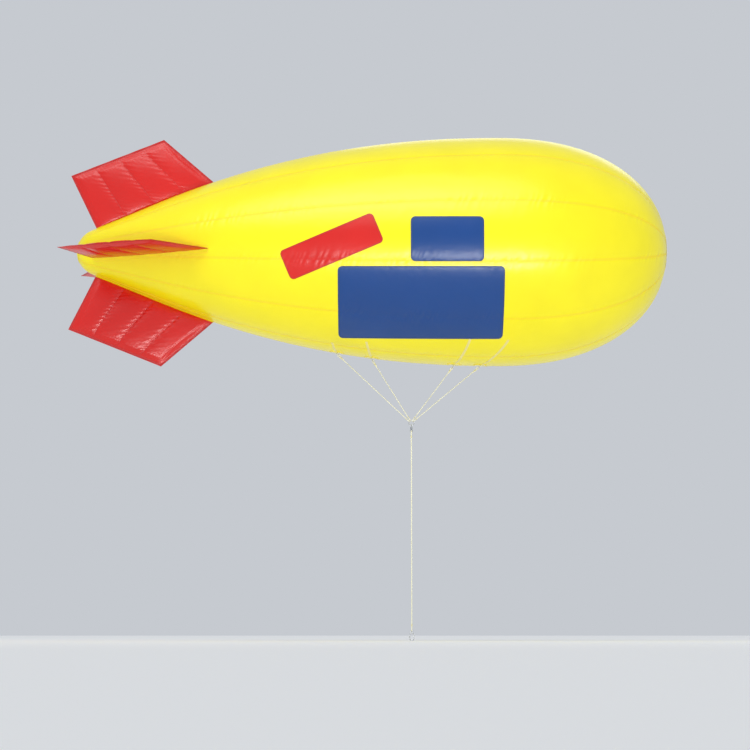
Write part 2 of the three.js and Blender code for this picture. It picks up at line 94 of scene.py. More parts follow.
def new_material(name, **shader):
    """Material with one Principled shader, whose constants are set on its own sockets."""
    material = bpy.data.materials.new(name)
    material.use_nodes = True
    bsdf = material.node_tree.nodes["Principled BSDF"]
    for socket, value in shader.items():
        bsdf.inputs[socket.replace("_", " ")].default_value = value
    return material, bsdf


def points_at(x, y, z):
    """Points of a grid from the arrays of their three coordinates, spread to one shape."""
    return np.stack(np.broadcast_arrays(x, y, z), -1)


def quad_corners(grid):
    """The four corners of each quad of a grid, in order round the quad."""
    return np.stack([grid[:-1, :-1], grid[:-1, 1:], grid[1:, 1:], grid[1:, :-1]], 2)


def loft(name, rings, closed=False, keep=None, uv=None, crease_deg=35, **marks):
    """Piece from closed rings of points, an array of rings by points by xyz. Neighbours in a ring
    and from ring to ring are joined by quads. Unless the last ring joins the first, a fan fills
    each end: quads with two corners in the ring's centre, one of which is left out. All faces are
    turned over if the volume inside comes out negative. keep says which quads stay, uv holds one
    pair for each corner of the unrolled grid, and each mark one number for each point."""
    rows, columns = rings.shape[:2]
    points = rings.reshape(-1, 3)
    count = len(points)
    index = np.arange(count).reshape(rows, columns)
    if closed:
        index = np.vstack([index, index[:1]])
    else:
        points = np.vstack([points, rings[0].mean(0), rings[-1].mean(0)])
        index = np.pad(index, ((1, 1), (0, 0)), constant_values=((count, count + 1), (0, 0)))
    quads = quad_corners(np.hstack([index, index[:, :1]]))
    a, b, c, d = (points[quads[..., i]] for i in range(4))
    way = -1 if np.sum(a * (np.cross(b, c) + np.cross(c, d))) < 0 else 1
    quads = quads[..., ::way]
    corners = quads != np.roll(quads, 1, 2)
    if keep is not None:
        corners[1:-1] &= keep[..., None]
    used, vertex_index = np.unique(quads[corners], return_inverse=True)
    sizes = corners.sum(2)[corners.any(2)]
    mesh = bpy.data.meshes.new(name)
    mesh.vertices.add(len(used))
    mesh.vertices.foreach_set("co", points[used].astype(np.float32).ravel())
    mesh.loops.add(len(vertex_index))
    mesh.loops.foreach_set("vertex_index", vertex_index.astype(np.int32))
    mesh.polygons.add(len(sizes))
    mesh.polygons.foreach_set("loop_start", (np.cumsum(sizes) - sizes).astype(np.int32))
    mesh.polygons.foreach_set("use_smooth", np.ones(len(sizes), bool))
    if uv is not None:
        ends = [np.broadcast_to(uv[row].mean(0), uv[:1].shape) for row in (0, -1)]
        uv = uv if closed else np.concatenate([ends[0], uv, ends[1]])
        flat_uv = quad_corners(uv)[:, :, ::way][corners]
        mesh.uv_layers.new(name="lie").data.foreach_set("uv", flat_uv.astype(np.float32).ravel())
    for label, numbers in marks.items():
        spread = np.broadcast_to(numbers, (rows, columns)).ravel()
        if not closed:
            spread = np.append(spread, [numbers[0].mean(), numbers[-1].mean()])
        attribute = mesh.attributes.new(label, "FLOAT", "POINT")
        attribute.data.foreach_set("value", spread[used].astype(np.float32))
    mesh.update(calc_edges=True)
    mesh.set_sharp_from_angle(angle=math.radians(crease_deg))
    obj = bpy.data.objects.new(name, mesh)
    bpy.context.scene.collection.objects.link(obj)
    return obj


FLOOR_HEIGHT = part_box("hook_body")[0].z
FLOOR_RADIUS = 160.0
# The floor's rings run from its middle out over the top and back underneath.
floor_reach = np.array([0.01, 4.0, 12.0, 40.0, FLOOR_RADIUS, FLOOR_RADIUS, 0.01])[:, None]
floor_drop = np.array([0.0, 0.0, 0.0, 0.0, 0.0, 0.1, 0.1])[:, None]
floor_turn = np.linspace(0, 2 * np.pi, 96, endpoint=False)
floor = loft("floor", points_at(
    floor_reach * np.cos(floor_turn), floor_reach * np.sin(floor_turn), FLOOR_HEIGHT - floor_drop,
))
floor_paint, _ = new_material("matt_floor_paint", Base_Color=linear(0xF6F6F5), Roughness=0.85)
floor.data.materials.append(floor_paint)

BACKDROP_COLOUR = 0xC6CAD0
world = bpy.data.worlds.new("studio_air")
world.use_nodes = True
world.node_tree.nodes["Background"].inputs["Color"].default_value = linear(BACKDROP_COLOUR)
bpy.context.scene.world = world
bpy.context.scene.view_settings.view_transform = "Standard"

# name, place, point it faces, width along the hull, height, beam angle in degrees, watts
SOFT_LIGHTS = (
    ("key_light", (-3.0, -9.0, 8.5), (-0.3, 0.0, 0.0), 9.0, 4.0, 110, 76.0),
    ("far_light", (3.0, 10.0, 7.0), (-0.3, 0.0, 0.0), 9.0, 4.0, 110, 40.0),
    ("belly_light", (0.0, -9.5, -3.1), (-0.3, 0.0, -0.3), 9.0, 1.0, 60, 46.0),
)
for light_name, light_place, light_aim, light_width, light_height, beam_deg, watts in SOFT_LIGHTS:
    lamp = bpy.data.lights.new(light_name, "AREA")
    lamp.shape = "RECTANGLE"
    lamp.size = light_width
    lamp.size_y = light_height
    lamp.energy = watts
    lamp.spread = math.radians(beam_deg)
    stand = bpy.data.objects.new(light_name, lamp)
    stand.location = light_place
    reach = Vector(light_aim) - Vector(light_place)
    stand.rotation_euler = reach.to_track_quat("-Z", "Y").to_euler()
    stand.visible_camera = False
    bpy.context.scene.collection.objects.link(stand)

# One very wide distant light evens out the floor and puts the blimp's soft shadow under it.
WIDE_LIGHT_FROM = (-0.25, -0.9, 1.0)
WIDE_LIGHT_STRENGTH = 0.78
WIDE_LIGHT_ANGLE_DEG = 50
wide_lamp = bpy.data.lights.new("wide_light", "SUN")
wide_lamp.energy = WIDE_LIGHT_STRENGTH
wide_lamp.angle = math.radians(WIDE_LIGHT_ANGLE_DEG)
wide_light = bpy.data.objects.new("wide_light", wide_lamp)
wide_light.rotation_euler = Vector(WIDE_LIGHT_FROM).to_track_quat("Z", "Y").to_euler()
bpy.context.scene.collection.objects.link(wide_light)


# Hull film
# The gas bag is twelve gores of yellow PVC film, cut to shape and lap-welded edge to edge. The
# welds don't stretch like the film beside them, so they lie in a shallow groove with short puckers.
TAIL_X, NOSE_X = (corner.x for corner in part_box("envelope"))
HULL_LENGTH = NOSE_X - TAIL_X
HULL_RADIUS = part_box("envelope")[1].z
WIDEST_STATION = 4.290
TAIL_CAP_RADIUS = 0.242
CONE_SLOPE = 0.412
CONE_END = 0.824
NOSE_POWER = 2.217
NOSE_ROOT = 0.461
CAP_COS = 1 / math.hypot(1, CONE_SLOPE)
CONE_START = TAIL_CAP_RADIUS * (1 - CONE_SLOPE * CAP_COS)
SHOULDER_RISE = HULL_RADIUS - TAIL_CAP_RADIUS * CAP_COS - (CONE_END - CONE_START) * CONE_SLOPE
SHOULDER_POWER = CONE_SLOPE * (WIDEST_STATION - CONE_END) / SHOULDER_RISE
SLOPE_STEP = 0.0005
PROFILE_STEPS = 4000

HULL_ROWS = 580
GORES = 12
GORE_TURN = 2 * math.pi / GORES
# Shares of a gore's width at which points lie: close together beside the welds.
GORE_SHARES = np.array([
    0, 0.018, 0.05, 0.095, 0.16, 0.25, 0.37, 0.50, 0.63, 0.75, 0.84, 0.905, 0.95, 0.982,
])
WELD_HALF_WIDTH = 0.013
GROOVE_DEPTH = 0.0050
GROOVE_REACH = 0.050
PUCKER_HEIGHT = 0.0028
PUCKER_REACH = 0.060
PUCKER_PITCH = 0.062
PUCKER_SLANT = 0.35
PUCKER_SHIFT = 0.7
# Slow sines along a weld that drift its puckers: share of a pitch, length of the sine.
PUCKER_DRIFTS = ((0.45, 0.61), (0.30, 0.23))
PUCKER_LEAST = 0.30
PUCKER_GROUP = 0.83
FULL_RELIEF_RADIUS = 0.7
seam_chance = np.random.default_rng(5).uniform(0, 2 * np.pi, (GORES, 3))


def hull_radius(station):
    """Radius at a distance from the tail's tip: a round cap, a straight cone, a shoulder whose
    shortfall from the widest radius grows as a power of the way back, and a blunt nose."""
    cap = np.sqrt(np.maximum(0, station * (2 * TAIL_CAP_RADIUS - station)))
    cone = TAIL_CAP_RADIUS * CAP_COS + (station - CONE_START) * CONE_SLOPE
    back = np.clip((WIDEST_STATION - station) / (WIDEST_STATION - CONE_END), 0, 1)
    shoulder = HULL_RADIUS - SHOULDER_RISE * back ** SHOULDER_POWER
    ahead = np.clip((station - WIDEST_STATION) / (HULL_LENGTH - WIDEST_STATION), 0, 1)
    nose = HULL_RADIUS * (1 - ahead ** NOSE_POWER) ** NOSE_ROOT
    parts = [station <= CONE_START, station <= CONE_END, station <= WIDEST_STATION]
    return np.select(parts, [cap, cone, shoulder], nose)


def hull_point(station, angle, lift):
    """Point of the hull at a station and an angle from the keel to port, moved off the skin along
    its normal, which leans by the profile's slope."""
    fore = np.clip(station + SLOPE_STEP, 0, HULL_LENGTH)
    aft = np.clip(station - SLOPE_STEP, 0, HULL_LENGTH)
    slope = (hull_radius(fore) - hull_radius(aft)) / (fore - aft)
    stretch = np.hypot(1, slope)
    out = hull_radius(station) + lift / stretch
    x = TAIL_X + station - lift * slope / stretch
    return points_at(x, out * np.sin(angle), -out * np.cos(angle))


# The profile from tip to tip, its points crowded to both ends, and the length along it to each.
fine_station = HULL_LENGTH * (1 - np.cos(np.linspace(0, np.pi, PROFILE_STEPS + 1))) / 2
fine_radius = hull_radius(fine_station)
fine_length = np.append(0, np.cumsum(np.hypot(np.diff(fine_station), np.diff(fine_radius))))


def skin_length(station):
    """Length along the skin from the tail's tip, read from the summed profile."""
    return np.interp(station, fine_station, fine_length)


def seam_distance(station, angle):
    """Signed distance over the skin from the nearest weld: the angle between them times the radius."""
    turns = angle / GORE_TURN - 0.5
    return (turns - np.round(turns)) * GORE_TURN * hull_radius(station)


def hull_relief(station, angle):
    """Lift of the film: a groove that falls off exponentially beside each weld, plus puckers, which
    are a sine along the weld whose pitch and height drift by slower sines."""
    offset = seam_distance(station, angle)
    beside = np.abs(offset)
    chance = seam_chance[np.round(angle / GORE_TURN - 0.5).astype(int) % GORES]
    run = skin_length(station) + PUCKER_SLANT * offset
    drift = sum(
        share * np.sin(2 * np.pi * run / length + chance[..., i])
        for i, (share, length) in enumerate(PUCKER_DRIFTS)
    )
    group = np.sin(np.pi * run / PUCKER_GROUP + chance[..., 2]) ** 2
    strength = PUCKER_LEAST + (1 - PUCKER_LEAST) * group
    wave = np.sin(2 * np.pi * (run / PUCKER_PITCH + drift) + PUCKER_SHIFT * np.sign(offset))
    groove = -GROOVE_DEPTH * np.exp(-beside / GROOVE_REACH)
    pucker = PUCKER_HEIGHT * strength * wave * np.exp(-beside / PUCKER_REACH)
    return np.clip(hull_radius(station) / FULL_RELIEF_RADIUS, 0, 1) * (groove + pucker)


def film_lift(station, angle):
    """Lift of the film as it is meshed, straight between two neighbouring columns of points, for
    what is welded on it to follow."""
    gore, share = np.divmod(angle / GORE_TURN + 0.5, 1)
    columns = np.append(GORE_SHARES, 1.0)
    nearest = np.searchsorted(columns, share, side="right") - 1
    left, right = columns[nearest], columns[nearest + 1]
    left_lift, right_lift = (
        hull_relief(station, (gore - 0.5 + side) * GORE_TURN) for side in (left, right)
    )
    return left_lift + (right_lift - left_lift) * (share - left) / (right - left)


# Places of the colour sockets of a mix node.
MIX_A, MIX_B, MIX_RESULT = 6, 7, 2
# Sizes of the film's slack waves, its grain and its cloudy shade, with the relief of the first two
# and the fade at a weld's edge. The grain is drawn coarse, so that it shows.
SLACK_MM, SLACK_RELIEF = 160, 0.0035
GRAIN_MM, GRAIN_RELIEF = 12, 0.0002
SHADE_MM = 450
WELD_FADE = 0.0015
FILM_ROUGH, WELD_ROUGH = 0.27, 0.42


def pvc_film(name, slot, colour, weld_colour):
    """Calendered PVC film: a clear gloss over slow slack waves and a fine leathery grain. Where two
    layers are welded, the film is deeper in colour and flatter in gloss. The mark past_weld is
    the distance from the weld's edge, less than zero on the weld."""
    material, bsdf = new_material(name, IOR=1.53)
    place = add_node(material, "TexCoord", "Object")
    slack, grain, shade = (
        add_node(material, "TexNoise", "Fac", {"Scale": 1000 / size, "Detail": detail}, {"Vector": place})
        for size, detail in ((SLACK_MM, 2.0), (GRAIN_MM, 3.0), (SHADE_MM, 2.0))
    )
    past_weld = add_node(material, "Attribute", "Fac", attribute_name="past_weld")
    weld = add_node(
        material, "MapRange", "Result",
        {"From Min": -WELD_FADE, "From Max": 0.0, "To Min": 1.0, "To Max": 0.0}, {"Value": past_weld},
    )
    body = add_node(
        material, "Mix", MIX_RESULT, {MIX_A: linear(colour), MIX_B: linear(weld_colour)},
        {"Factor": weld}, data_type="RGBA",
    )
    tone = add_node(
        material, "MapRange", "Result",
        {"From Min": 0.3, "From Max": 0.7, "To Min": 0.97, "To Max": 1.03}, {"Value": shade},
    )
    coloured = add_node(material, "HueSaturation", "Color", sources={"Color": body, "Value": tone})
    gloss = add_node(
        material, "MapRange", "Result", {"To Min": FILM_ROUGH, "To Max": WELD_ROUGH}, {"Value": weld},
    )
    soft = add_node(
        material, "Bump", "Normal", {"Strength": 1.0, "Distance": SLACK_RELIEF}, {"Height": slack},
    )
    fine = add_node(
        material, "Bump", "Normal", {"Strength": 1.0, "Distance": GRAIN_RELIEF},
        {"Height": grain, "Normal": soft},
    )
    join_nodes(material, bsdf, {"Base Color": coloured, "Roughness": gloss, "Normal": fine})
    return material, slot


def add_piece(name, rings, finish, body, *nodes, **form):
    """Makes a piece, gives it the material of its finish, puts it on the body that it rides on and
    hides the solids that it stands for. The finish also holds the slot of the record that it belongs to,
    which is not used."""
    piece = loft(name, rings, **form)
    material, slot = finish
    piece.data.materials.append(material)
    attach(piece, body)
    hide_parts(*nodes)


yellow_film = pvc_film(
    "calendered_pvc_film_yellow", "yellow_film", colour=0xFFF000, weld_colour=0xFFE600,
)
row_length = np.linspace(0, fine_length[-1], HULL_ROWS + 2)[1:-1, None]
hull_station = np.interp(row_length, fine_length, fine_station)
hull_angle = ((np.arange(GORES)[:, None] - 0.5 + GORE_SHARES) * GORE_TURN).ravel()[None, :]

# The film is cut out round for the valve, in the middle of a gore. The points about the cut are
# drawn on to its edge, and those beyond them follow less and less.
VALVE_STATION = 1.950
VALVE_ANGLE = math.radians(60)
VALVE_HOLE = 0.056
HOLE_ROWS = 4
HOLE_SHARE = 0.13
valve_length = skin_length(VALVE_STATION)
valve_row = np.argmin(np.abs(row_length - valve_length))
from_hole = np.maximum(
    np.abs(np.arange(HULL_ROWS) - valve_row)[:, None] / HOLE_ROWS,
    np.abs(hull_angle - VALVE_ANGLE) / (HOLE_SHARE * GORE_TURN),
)
along = row_length - valve_length
around = (hull_angle - VALVE_ANGLE) * hull_radius(hull_station)
follow = np.where(from_hole > 0.999, np.clip(2 - from_hole, 0, 1), 0)
draw = 1 + follow * (VALVE_HOLE / np.hypot(along, around) - 1)
hull_station = np.interp(valve_length + along * draw, fine_length, fine_station)
hull_angle = VALVE_ANGLE + around * draw / hull_radius(hull_station)
in_hole = from_hole < 1.001
in_hole = in_hole & np.roll(in_hole, -1, 1)
in_hole = in_hole[:-1] & in_hole[1:]
add_piece(
    "envelope_film",
    hull_point(hull_station, hull_angle, hull_relief(hull_station, hull_angle)),
    yellow_film, "blimp", "envelope",
    keep=~in_hole,
    past_weld=np.abs(seam_distance(hull_station, hull_angle)) - WELD_HALF_WIDTH,
)


# Nose and tail discs
# The twelve gores end in a point at each tip, where a round disc of the same film is welded over
# them, so that gas can't leak where all the welds meet.
DISC_RISE = 0.0005
DISC_THICKNESS = 0.002
DISC_WELD_WIDTH = 0.016
DISC_STEP = 0.0006
DISC_STEP_WIDTH = 0.0035
DISC_SIDES = 96
NOSE_DISC_RADIUS = 0.200
TAIL_DISC_RADIUS = 0.110


def disc_rings(reach, near):
    """Disc over a tip of the hull: from the pole out to the rim along the skin, over a rounded rim,
    and back underneath, with a faint bell-shaped dip at the weld's inner edge. The station of each
    radius is read back from the near part of the hull's profile."""
    over = np.concatenate([np.linspace(0.02, 1, 26), np.full(3, 1.0), np.linspace(1, 0.02, 10)])
    rise = np.concatenate([np.full(25, 1.0), [0.96, 0.75, 0.4, 0.1], np.zeros(10)])
    radius = (over * reach)[:, None]
    order = np.argsort(fine_radius[near])
    station = np.interp(radius, fine_radius[near][order], fine_station[near][order])
    past_weld = reach - radius - DISC_WELD_WIDTH
    dip = DISC_STEP * np.exp(-((past_weld / DISC_STEP_WIDTH) ** 2))
    lift = DISC_RISE + (DISC_THICKNESS - dip) * rise[:, None]
    turn = np.linspace(0, 2 * np.pi, DISC_SIDES, endpoint=False)
    return hull_point(station, turn, lift), past_weld


for tip_name, disc_radius, near_tip in (
    ("nose", NOSE_DISC_RADIUS, fine_station > WIDEST_STATION),
    ("tail", TAIL_DISC_RADIUS, fine_station < CONE_END),
):
    rings, past_weld = disc_rings(disc_radius, near_tip)
    add_piece(f"{tip_name}_disc_film", rings, yellow_film, "blimp", f"{tip_name}_disc", past_weld=past_weld)


# Tail fins
# Four air-filled cushions of red PVC film, each two sheets welded flat round the edge and tied
# inside by three baffles that run out from the root. They swell between the baffles.
FIN_ROOT = (0.196, 1.399)
FIN_TIP_STATION = (-0.076, 0.871)
FIN_TIP_HEIGHT = (0.796, 1.175)
FIN_BELLY = 0.042
FIN_EDGE = 0.003
FIN_SEAT = 0.0035
SIDE_FIN_DROP = 0.100
FIN_FLANGE = 0.024
FIN_SWELL_REACH = 0.050
FIN_SWELL_POWER = 0.6
FIN_COLUMNS = 113
FIN_ROWS = 84
FIN_BAFFLES = (-0.5, 0.0, 0.5)
BAFFLE_PULL = 0.34
BAFFLE_REACH = 0.032
BAFFLE_WELD = 0.003
BAFFLE_END_SHARE = 0.16
FIN_PUCKER_HEIGHT = 0.0014
FIN_PUCKER_PITCH = 0.044
BAFFLE_PUCKER_REACH = 0.04
FLANGE_PUCKER_REACH = 0.05
PUCKER_START = 0.012
PUCKER_FOOT_SHARE = 0.05
FIN_DRIFT = 0.5
BAFFLE_DRIFT_LENGTH = 0.09
FLANGE_DRIFT_LENGTH = 0.08
FLUTTER_HEIGHT = 0.0022
FLUTTER_PITCH = 0.13
FLUTTER_FOOT_SHARE = 0.1

# name, turn about the hull's axis, side that its foot looks along, drop below the axis
FINS = (
    ("top", math.pi / 2, math.pi, 0.0),
    ("bottom", -math.pi / 2, 0.0, 0.0),
    ("port", 0.0, math.pi / 2, SIDE_FIN_DROP),
    ("starboard", math.pi, -math.pi / 2, SIDE_FIN_DROP),
)


def between(ends, share):
    """Straight blend of two values: the first at a share of zero, the second at one."""
    return ends[0] + (ends[1] - ends[0]) * share


def fin_outline(along, up, drop, sideways):
    """Place in the fin's plane of a share along its chord and a share up its height: straight
    blends between the foot, which follows the hull, and the straight tip."""
    foot = hull_point(between(FIN_ROOT, along), math.pi, FIN_SEAT)
    foot_height = np.sqrt(foot[..., 2] ** 2 - (drop - sideways) ** 2)
    tip_x = TAIL_X + between(FIN_TIP_STATION, along)
    return between((foot[..., 0], tip_x), up), between((foot_height, between(FIN_TIP_HEIGHT, along)), up)


def edge_distance(x, height, start, end):
    """Distance of points in the fin's plane from the straight line through two of its corners."""
    run = np.subtract(end, start)
    return np.abs((x - start[0]) * run[1] - (height - start[1]) * run[0]) / np.hypot(*run)


def fin_rings(turn, drop):
    """Both sheets of a fin, from foot to tip on one side and back on the other. Half the thickness
    is a rounded cushion that starts inside the flat flange, is pulled in along the baffles by an
    exponential, and is creased along baffles and flange by a drifting sine. The flange flutters."""
    u = np.linspace(-1, 1, FIN_COLUMNS)[:, None]
    climb = np.linspace(-1, 1, FIN_ROWS)
    v = np.concatenate([climb, climb[::-1]])
    side = np.repeat([1.0, -1.0], FIN_ROWS)
    along, up = (u + 1) / 2, (v + 1) / 2
    x, height = fin_outline(along, up, drop, side * math.cos(turn) * FIN_EDGE)
    corners = [
        fin_outline(np.array(a), np.array(b), drop, 0.0) for a, b in ((0, 0), (0, 1), (1, 1), (1, 0))
    ]
    rim = np.min([edge_distance(x, height, *corners[i:i + 2]) for i in range(3)], 0)
    in_flange = rim - FIN_FLANGE
    chord = x.max(0, keepdims=True) - x.min(0, keepdims=True)
    from_baffle = np.min([np.abs(u - baffle) * chord / 2 for baffle in FIN_BAFFLES], 0)
    swell = np.clip(in_flange / FIN_SWELL_REACH, 0, 1) ** FIN_SWELL_POWER
    belly = FIN_BELLY * swell * np.sqrt(np.maximum(0, (1 - u * u) * (1 - v * v)))
    end_fade = np.clip((1 - np.abs(v)) / BAFFLE_END_SHARE, 0, 1)
    belly = belly * (1 - BAFFLE_PULL * end_fade * np.exp(-from_baffle / BAFFLE_REACH))
    drift = FIN_DRIFT * np.sin(height / BAFFLE_DRIFT_LENGTH)
    wave = np.sin(2 * np.pi * (height / FIN_PUCKER_PITCH + drift + 2 * u))
    rim_drift = FIN_DRIFT * np.sin(x / FLANGE_DRIFT_LENGTH)
    rim_wave = np.sin(2 * np.pi * ((x + height) / FIN_PUCKER_PITCH + rim_drift))
    crease = end_fade * np.exp(-from_baffle / BAFFLE_PUCKER_REACH) * wave
    crease = crease + np.exp(-in_flange / FLANGE_PUCKER_REACH) * rim_wave
    crease = crease * np.clip(in_flange / PUCKER_START, 0, 1) * np.clip(up / PUCKER_FOOT_SHARE, 0, 1)
    belly = np.maximum(0, belly + FIN_PUCKER_HEIGHT * crease)
    flutter = FLUTTER_HEIGHT * np.clip(1 - rim / FIN_FLANGE, 0, 1)
    flutter = flutter * np.clip(up / FLUTTER_FOOT_SHARE, 0, 1)
    flutter = flutter * np.sin(2 * np.pi * (x - height) / FLUTTER_PITCH)
    w = side * (FIN_EDGE * 0.5 * (2 - up) + belly) + flutter
    y = height * math.cos(turn) - w * math.sin(turn)
    z = height * math.sin(turn) + w * math.cos(turn) - drop
    return points_at(x, y, z), np.minimum(in_flange, from_baffle - BAFFLE_WELD)


red_film = pvc_film("calendered_pvc_film_red", "red_film", colour=0xD8160C, weld_colour=0xC20E06)
for fin_name, fin_turn, fin_side, fin_drop in FINS:
    rings, past_weld = fin_rings(fin_turn, fin_drop)
    add_piece(f"fin_film_{fin_name}", rings, red_film, "blimp", f"fin_{fin_name}", past_weld=past_weld)


# Fin root bands
# A strip of hull film is welded down on each side of a fin's foot. It lies flat on the hull and
# turns up in a small fillet against the fin, which holds the fin upright.
BAND_WIDTH = 0.090
BAND_THICKNESS = 0.0025
BAND_LIFT = 0.0005
BAND_FILLET = 0.009
BAND_FILLET_REACH = 0.015
BAND_CORNER = 0.030
BAND_WELD = 0.010
BAND_STEPS = 150


def quarter_inset(corner, into):
    """How far the edge of a round corner is drawn in: its radius less the height of the circle."""
    return corner - np.sqrt(corner ** 2 - np.clip(into, 0, corner) ** 2)


def band_rings(side, drop):
    """Strip wrapped on the hull under a fin: its half width shrinks along quarter circles at the
    ends, its top thins at the edges and rises as a square towards the fin's foot."""
    station = between(FIN_ROOT, np.linspace(0, 1, BAND_STEPS)[:, None])
    to_end = np.minimum(station - FIN_ROOT[0], FIN_ROOT[1] - station)
    half = BAND_WIDTH / 2 - quarter_inset(BAND_CORNER, BAND_CORNER - to_end)
    top = np.array([-1, -0.97, -0.9, -0.7, -0.45, -0.24, -0.16, -0.1, -0.05])
    share = np.concatenate([top, [0.0], -top[::-1], [0.7, 0.0, -0.7]])
    rise = np.concatenate([[0.1, 0.75], np.full(15, 1.0), [0.75, 0.1], np.full(3, -0.5)])
    across = share * half
    fillet = BAND_FILLET * np.clip(1 - np.abs(across) / BAND_FILLET_REACH, 0, 1) ** 2 * (rise > 0)
    radius = hull_radius(station)
    angle = side - np.sign(side) * np.arcsin(drop / radius) - across / radius
    lift = film_lift(station, angle) + BAND_LIFT + BAND_THICKNESS * rise + fillet
    edge = np.minimum(half - np.abs(across), to_end)
    return hull_point(station, angle, lift), edge - BAND_WELD


for fin_name, _, fin_side, fin_drop in FINS:
    rings, past_weld = band_rings(fin_side, fin_drop)
    add_piece(
        f"fin_band_film_{fin_name}", rings, yellow_film, "blimp", f"fin_band_{fin_name}",
        past_weld=past_weld,
    )


# Blank display panels
# Sheets of coloured film welded flat on both flanks, where an advertiser's words would go. They
# are blank: one red panel that slants up to the nose, and a small and a large blue one.
PANEL_LIFT = 0.0018
PANEL_CORNER = 0.045
PANEL_WELD = 0.014
PANEL_STEP = 0.010
PANEL_BACK_STEPS = 10
SIGHT_TILT = math.radians(11.07)
blue_film = pvc_film("calendered_pvc_film_blue", "blue_film", colour=0x004086, weld_colour=0x003672)

# name, film, station of its centre, height of its centre, length, width, slant in degrees
PANELS = (
    ("slanted_panel", red_film, 2.615, 0.0586, 0.983, 0.307, 22.8),
    ("small_panel", blue_film, 3.7365, 0.1325, 0.705, 0.433, 0.0),
    ("large_panel", blue_film, 3.484, -0.489, 1.614, 0.718, 0.0),
)


def panel_rings(flank, centre_station, centre_height, length, width, slant_deg):
    """Rounded rectangle drawn on a plane beside the hull and carried in to the skin along a line
    that looks up from below: the angle is the arc cosine of height over radius, less the tilt.
    The sheet follows the welds under it, and its underside lies in the film."""
    corner = PANEL_CORNER * (1 - np.cos(np.linspace(0, np.pi / 2, 8)))
    straight = np.linspace(PANEL_CORNER, length - PANEL_CORNER, round(length / PANEL_STEP))
    run = np.concatenate([corner[:-1], straight, length - corner[-2::-1]])[:, None] - length / 2
    half = width / 2 - quarter_inset(PANEL_CORNER, np.abs(run) - (length / 2 - PANEL_CORNER))
    face = np.linspace(-1, 1, round(width / PANEL_STEP))
    back = np.linspace(1, -1, PANEL_BACK_STEPS + 2)[1:-1]
    rise = np.append(np.where(np.abs(face) < 1, 1.0, 0.8), np.full(PANEL_BACK_STEPS, -0.5))
    cross = np.append(face, back) * half
    slant = math.radians(slant_deg)
    station = centre_station + run * math.cos(slant) - cross * math.sin(slant)
    height = centre_height + run * math.sin(slant) + cross * math.cos(slant)
    angle = flank * (np.arccos(-height / hull_radius(station)) - SIGHT_TILT)
    lift = film_lift(station, angle) + PANEL_LIFT * rise
    edge = np.minimum(length / 2 - np.abs(run), half - np.abs(cross))
    return hull_point(station, angle, lift), edge - PANEL_WELD


for panel_name, panel_film, *panel_place in PANELS:
    for flank_name, flank in (("starboard", -1), ("port", 1)):
        rings, past_weld = panel_rings(flank, *panel_place)
        add_piece(f"{panel_name}_{flank_name}", rings, panel_film, "blimp", past_weld=past_weld)


# Load patches
# Round patches of doubled film on the keel. A loop of webbing is sewn flat on each patch with its
# middle standing up, and holds the straight side of a D-ring.
PATCH_RADIUS = 0.070
PATCH_THICKNESS = 0.003
PATCH_WELD = 0.012
PATCH_STEP = 0.0008
PATCH_SIDES = 64
LOOP_WIDTH = 0.022
LOOP_INNER = 0.0065
LOOP_LIFT = 0.0125
WEB_THICKNESS = 0.0018
WEB_TAB = 0.050
WEB_ROUNDING = 0.45
WEB_STEP = 0.0015

# name, station on the keel, station and angle of the tapes' upper ends, angle of the line's foot
# round the bridle ring
LOAD_POINTS = (
    ("rear_outer", 2.650, 2.609, 17.6, 150),
    ("rear_inner", 3.005, 2.953, 24.0, 118),
    ("front_inner", 3.837, 3.976, 31.9, 62),
    ("front_outer", 4.102, 4.352, 31.2, 32),
)


def patch_rings(station):
    """Disc laid on the keel from its pole out to a rounded rim and back underneath, with a shallow
    step where the rim weld begins."""
    share = np.concatenate([np.linspace(0.03, 1, 16), [1, 1], np.linspace(1, 0.03, 5)])[:, None]
    rise = np.concatenate([np.full(15, 1.0), [0.9, 0.6, 0.1], np.full(5, -0.5)])[:, None]
    turn = np.linspace(0, 2 * np.pi, PATCH_SIDES, endpoint=False)
    radius = share * PATCH_RADIUS
    from_rim = PATCH_RADIUS - radius
    step = PATCH_STEP * np.clip(1 - from_rim / PATCH_WELD, 0, 1) ** 0.5
    station = station + radius * np.cos(turn)
    angle = radius * np.sin(turn) / hull_radius(station)
    lift = film_lift(station, angle) + BAND_LIFT + (PATCH_THICKNESS - step) * rise
    return hull_point(station, angle, lift), from_rim - PATCH_WELD


def run_along(path):
    """Length along a path to each of its points: the distances between neighbours, summed."""
    return np.append(0, np.cumsum(np.linalg.norm(np.diff(path, axis=0), axis=1)))


def smooth_path(points, step):
    """Points every so far along a curve through the given points: a Catmull-Rom curve, which joins
    them by cubics whose slope at each point follows its two neighbours, then spaced evenly."""
    points = np.asarray(points, float)
    padded = np.vstack([2 * points[0] - points[1], points, 2 * points[-1] - points[-2]])
    t = np.linspace(0, 1, 16, endpoint=False)[None, :, None]
    p0, p1, p2, p3 = (padded[i:len(padded) - 3 + i][:, None] for i in range(4))
    curve = p1 + 0.5 * (
        (p2 - p0) * t + (2 * p0 - 5 * p1 + 4 * p2 - p3) * t ** 2 + (3 * p1 - p0 - 3 * p2 + p3) * t ** 3
    )
    curve = np.vstack([curve.reshape(-1, points.shape[1]), points[-1:]])
    length = run_along(curve)
    wanted = np.linspace(0, length[-1], max(2, round(length[-1] / step) + 1))
    return np.stack([np.interp(wanted, length, axis) for axis in curve.T], -1)


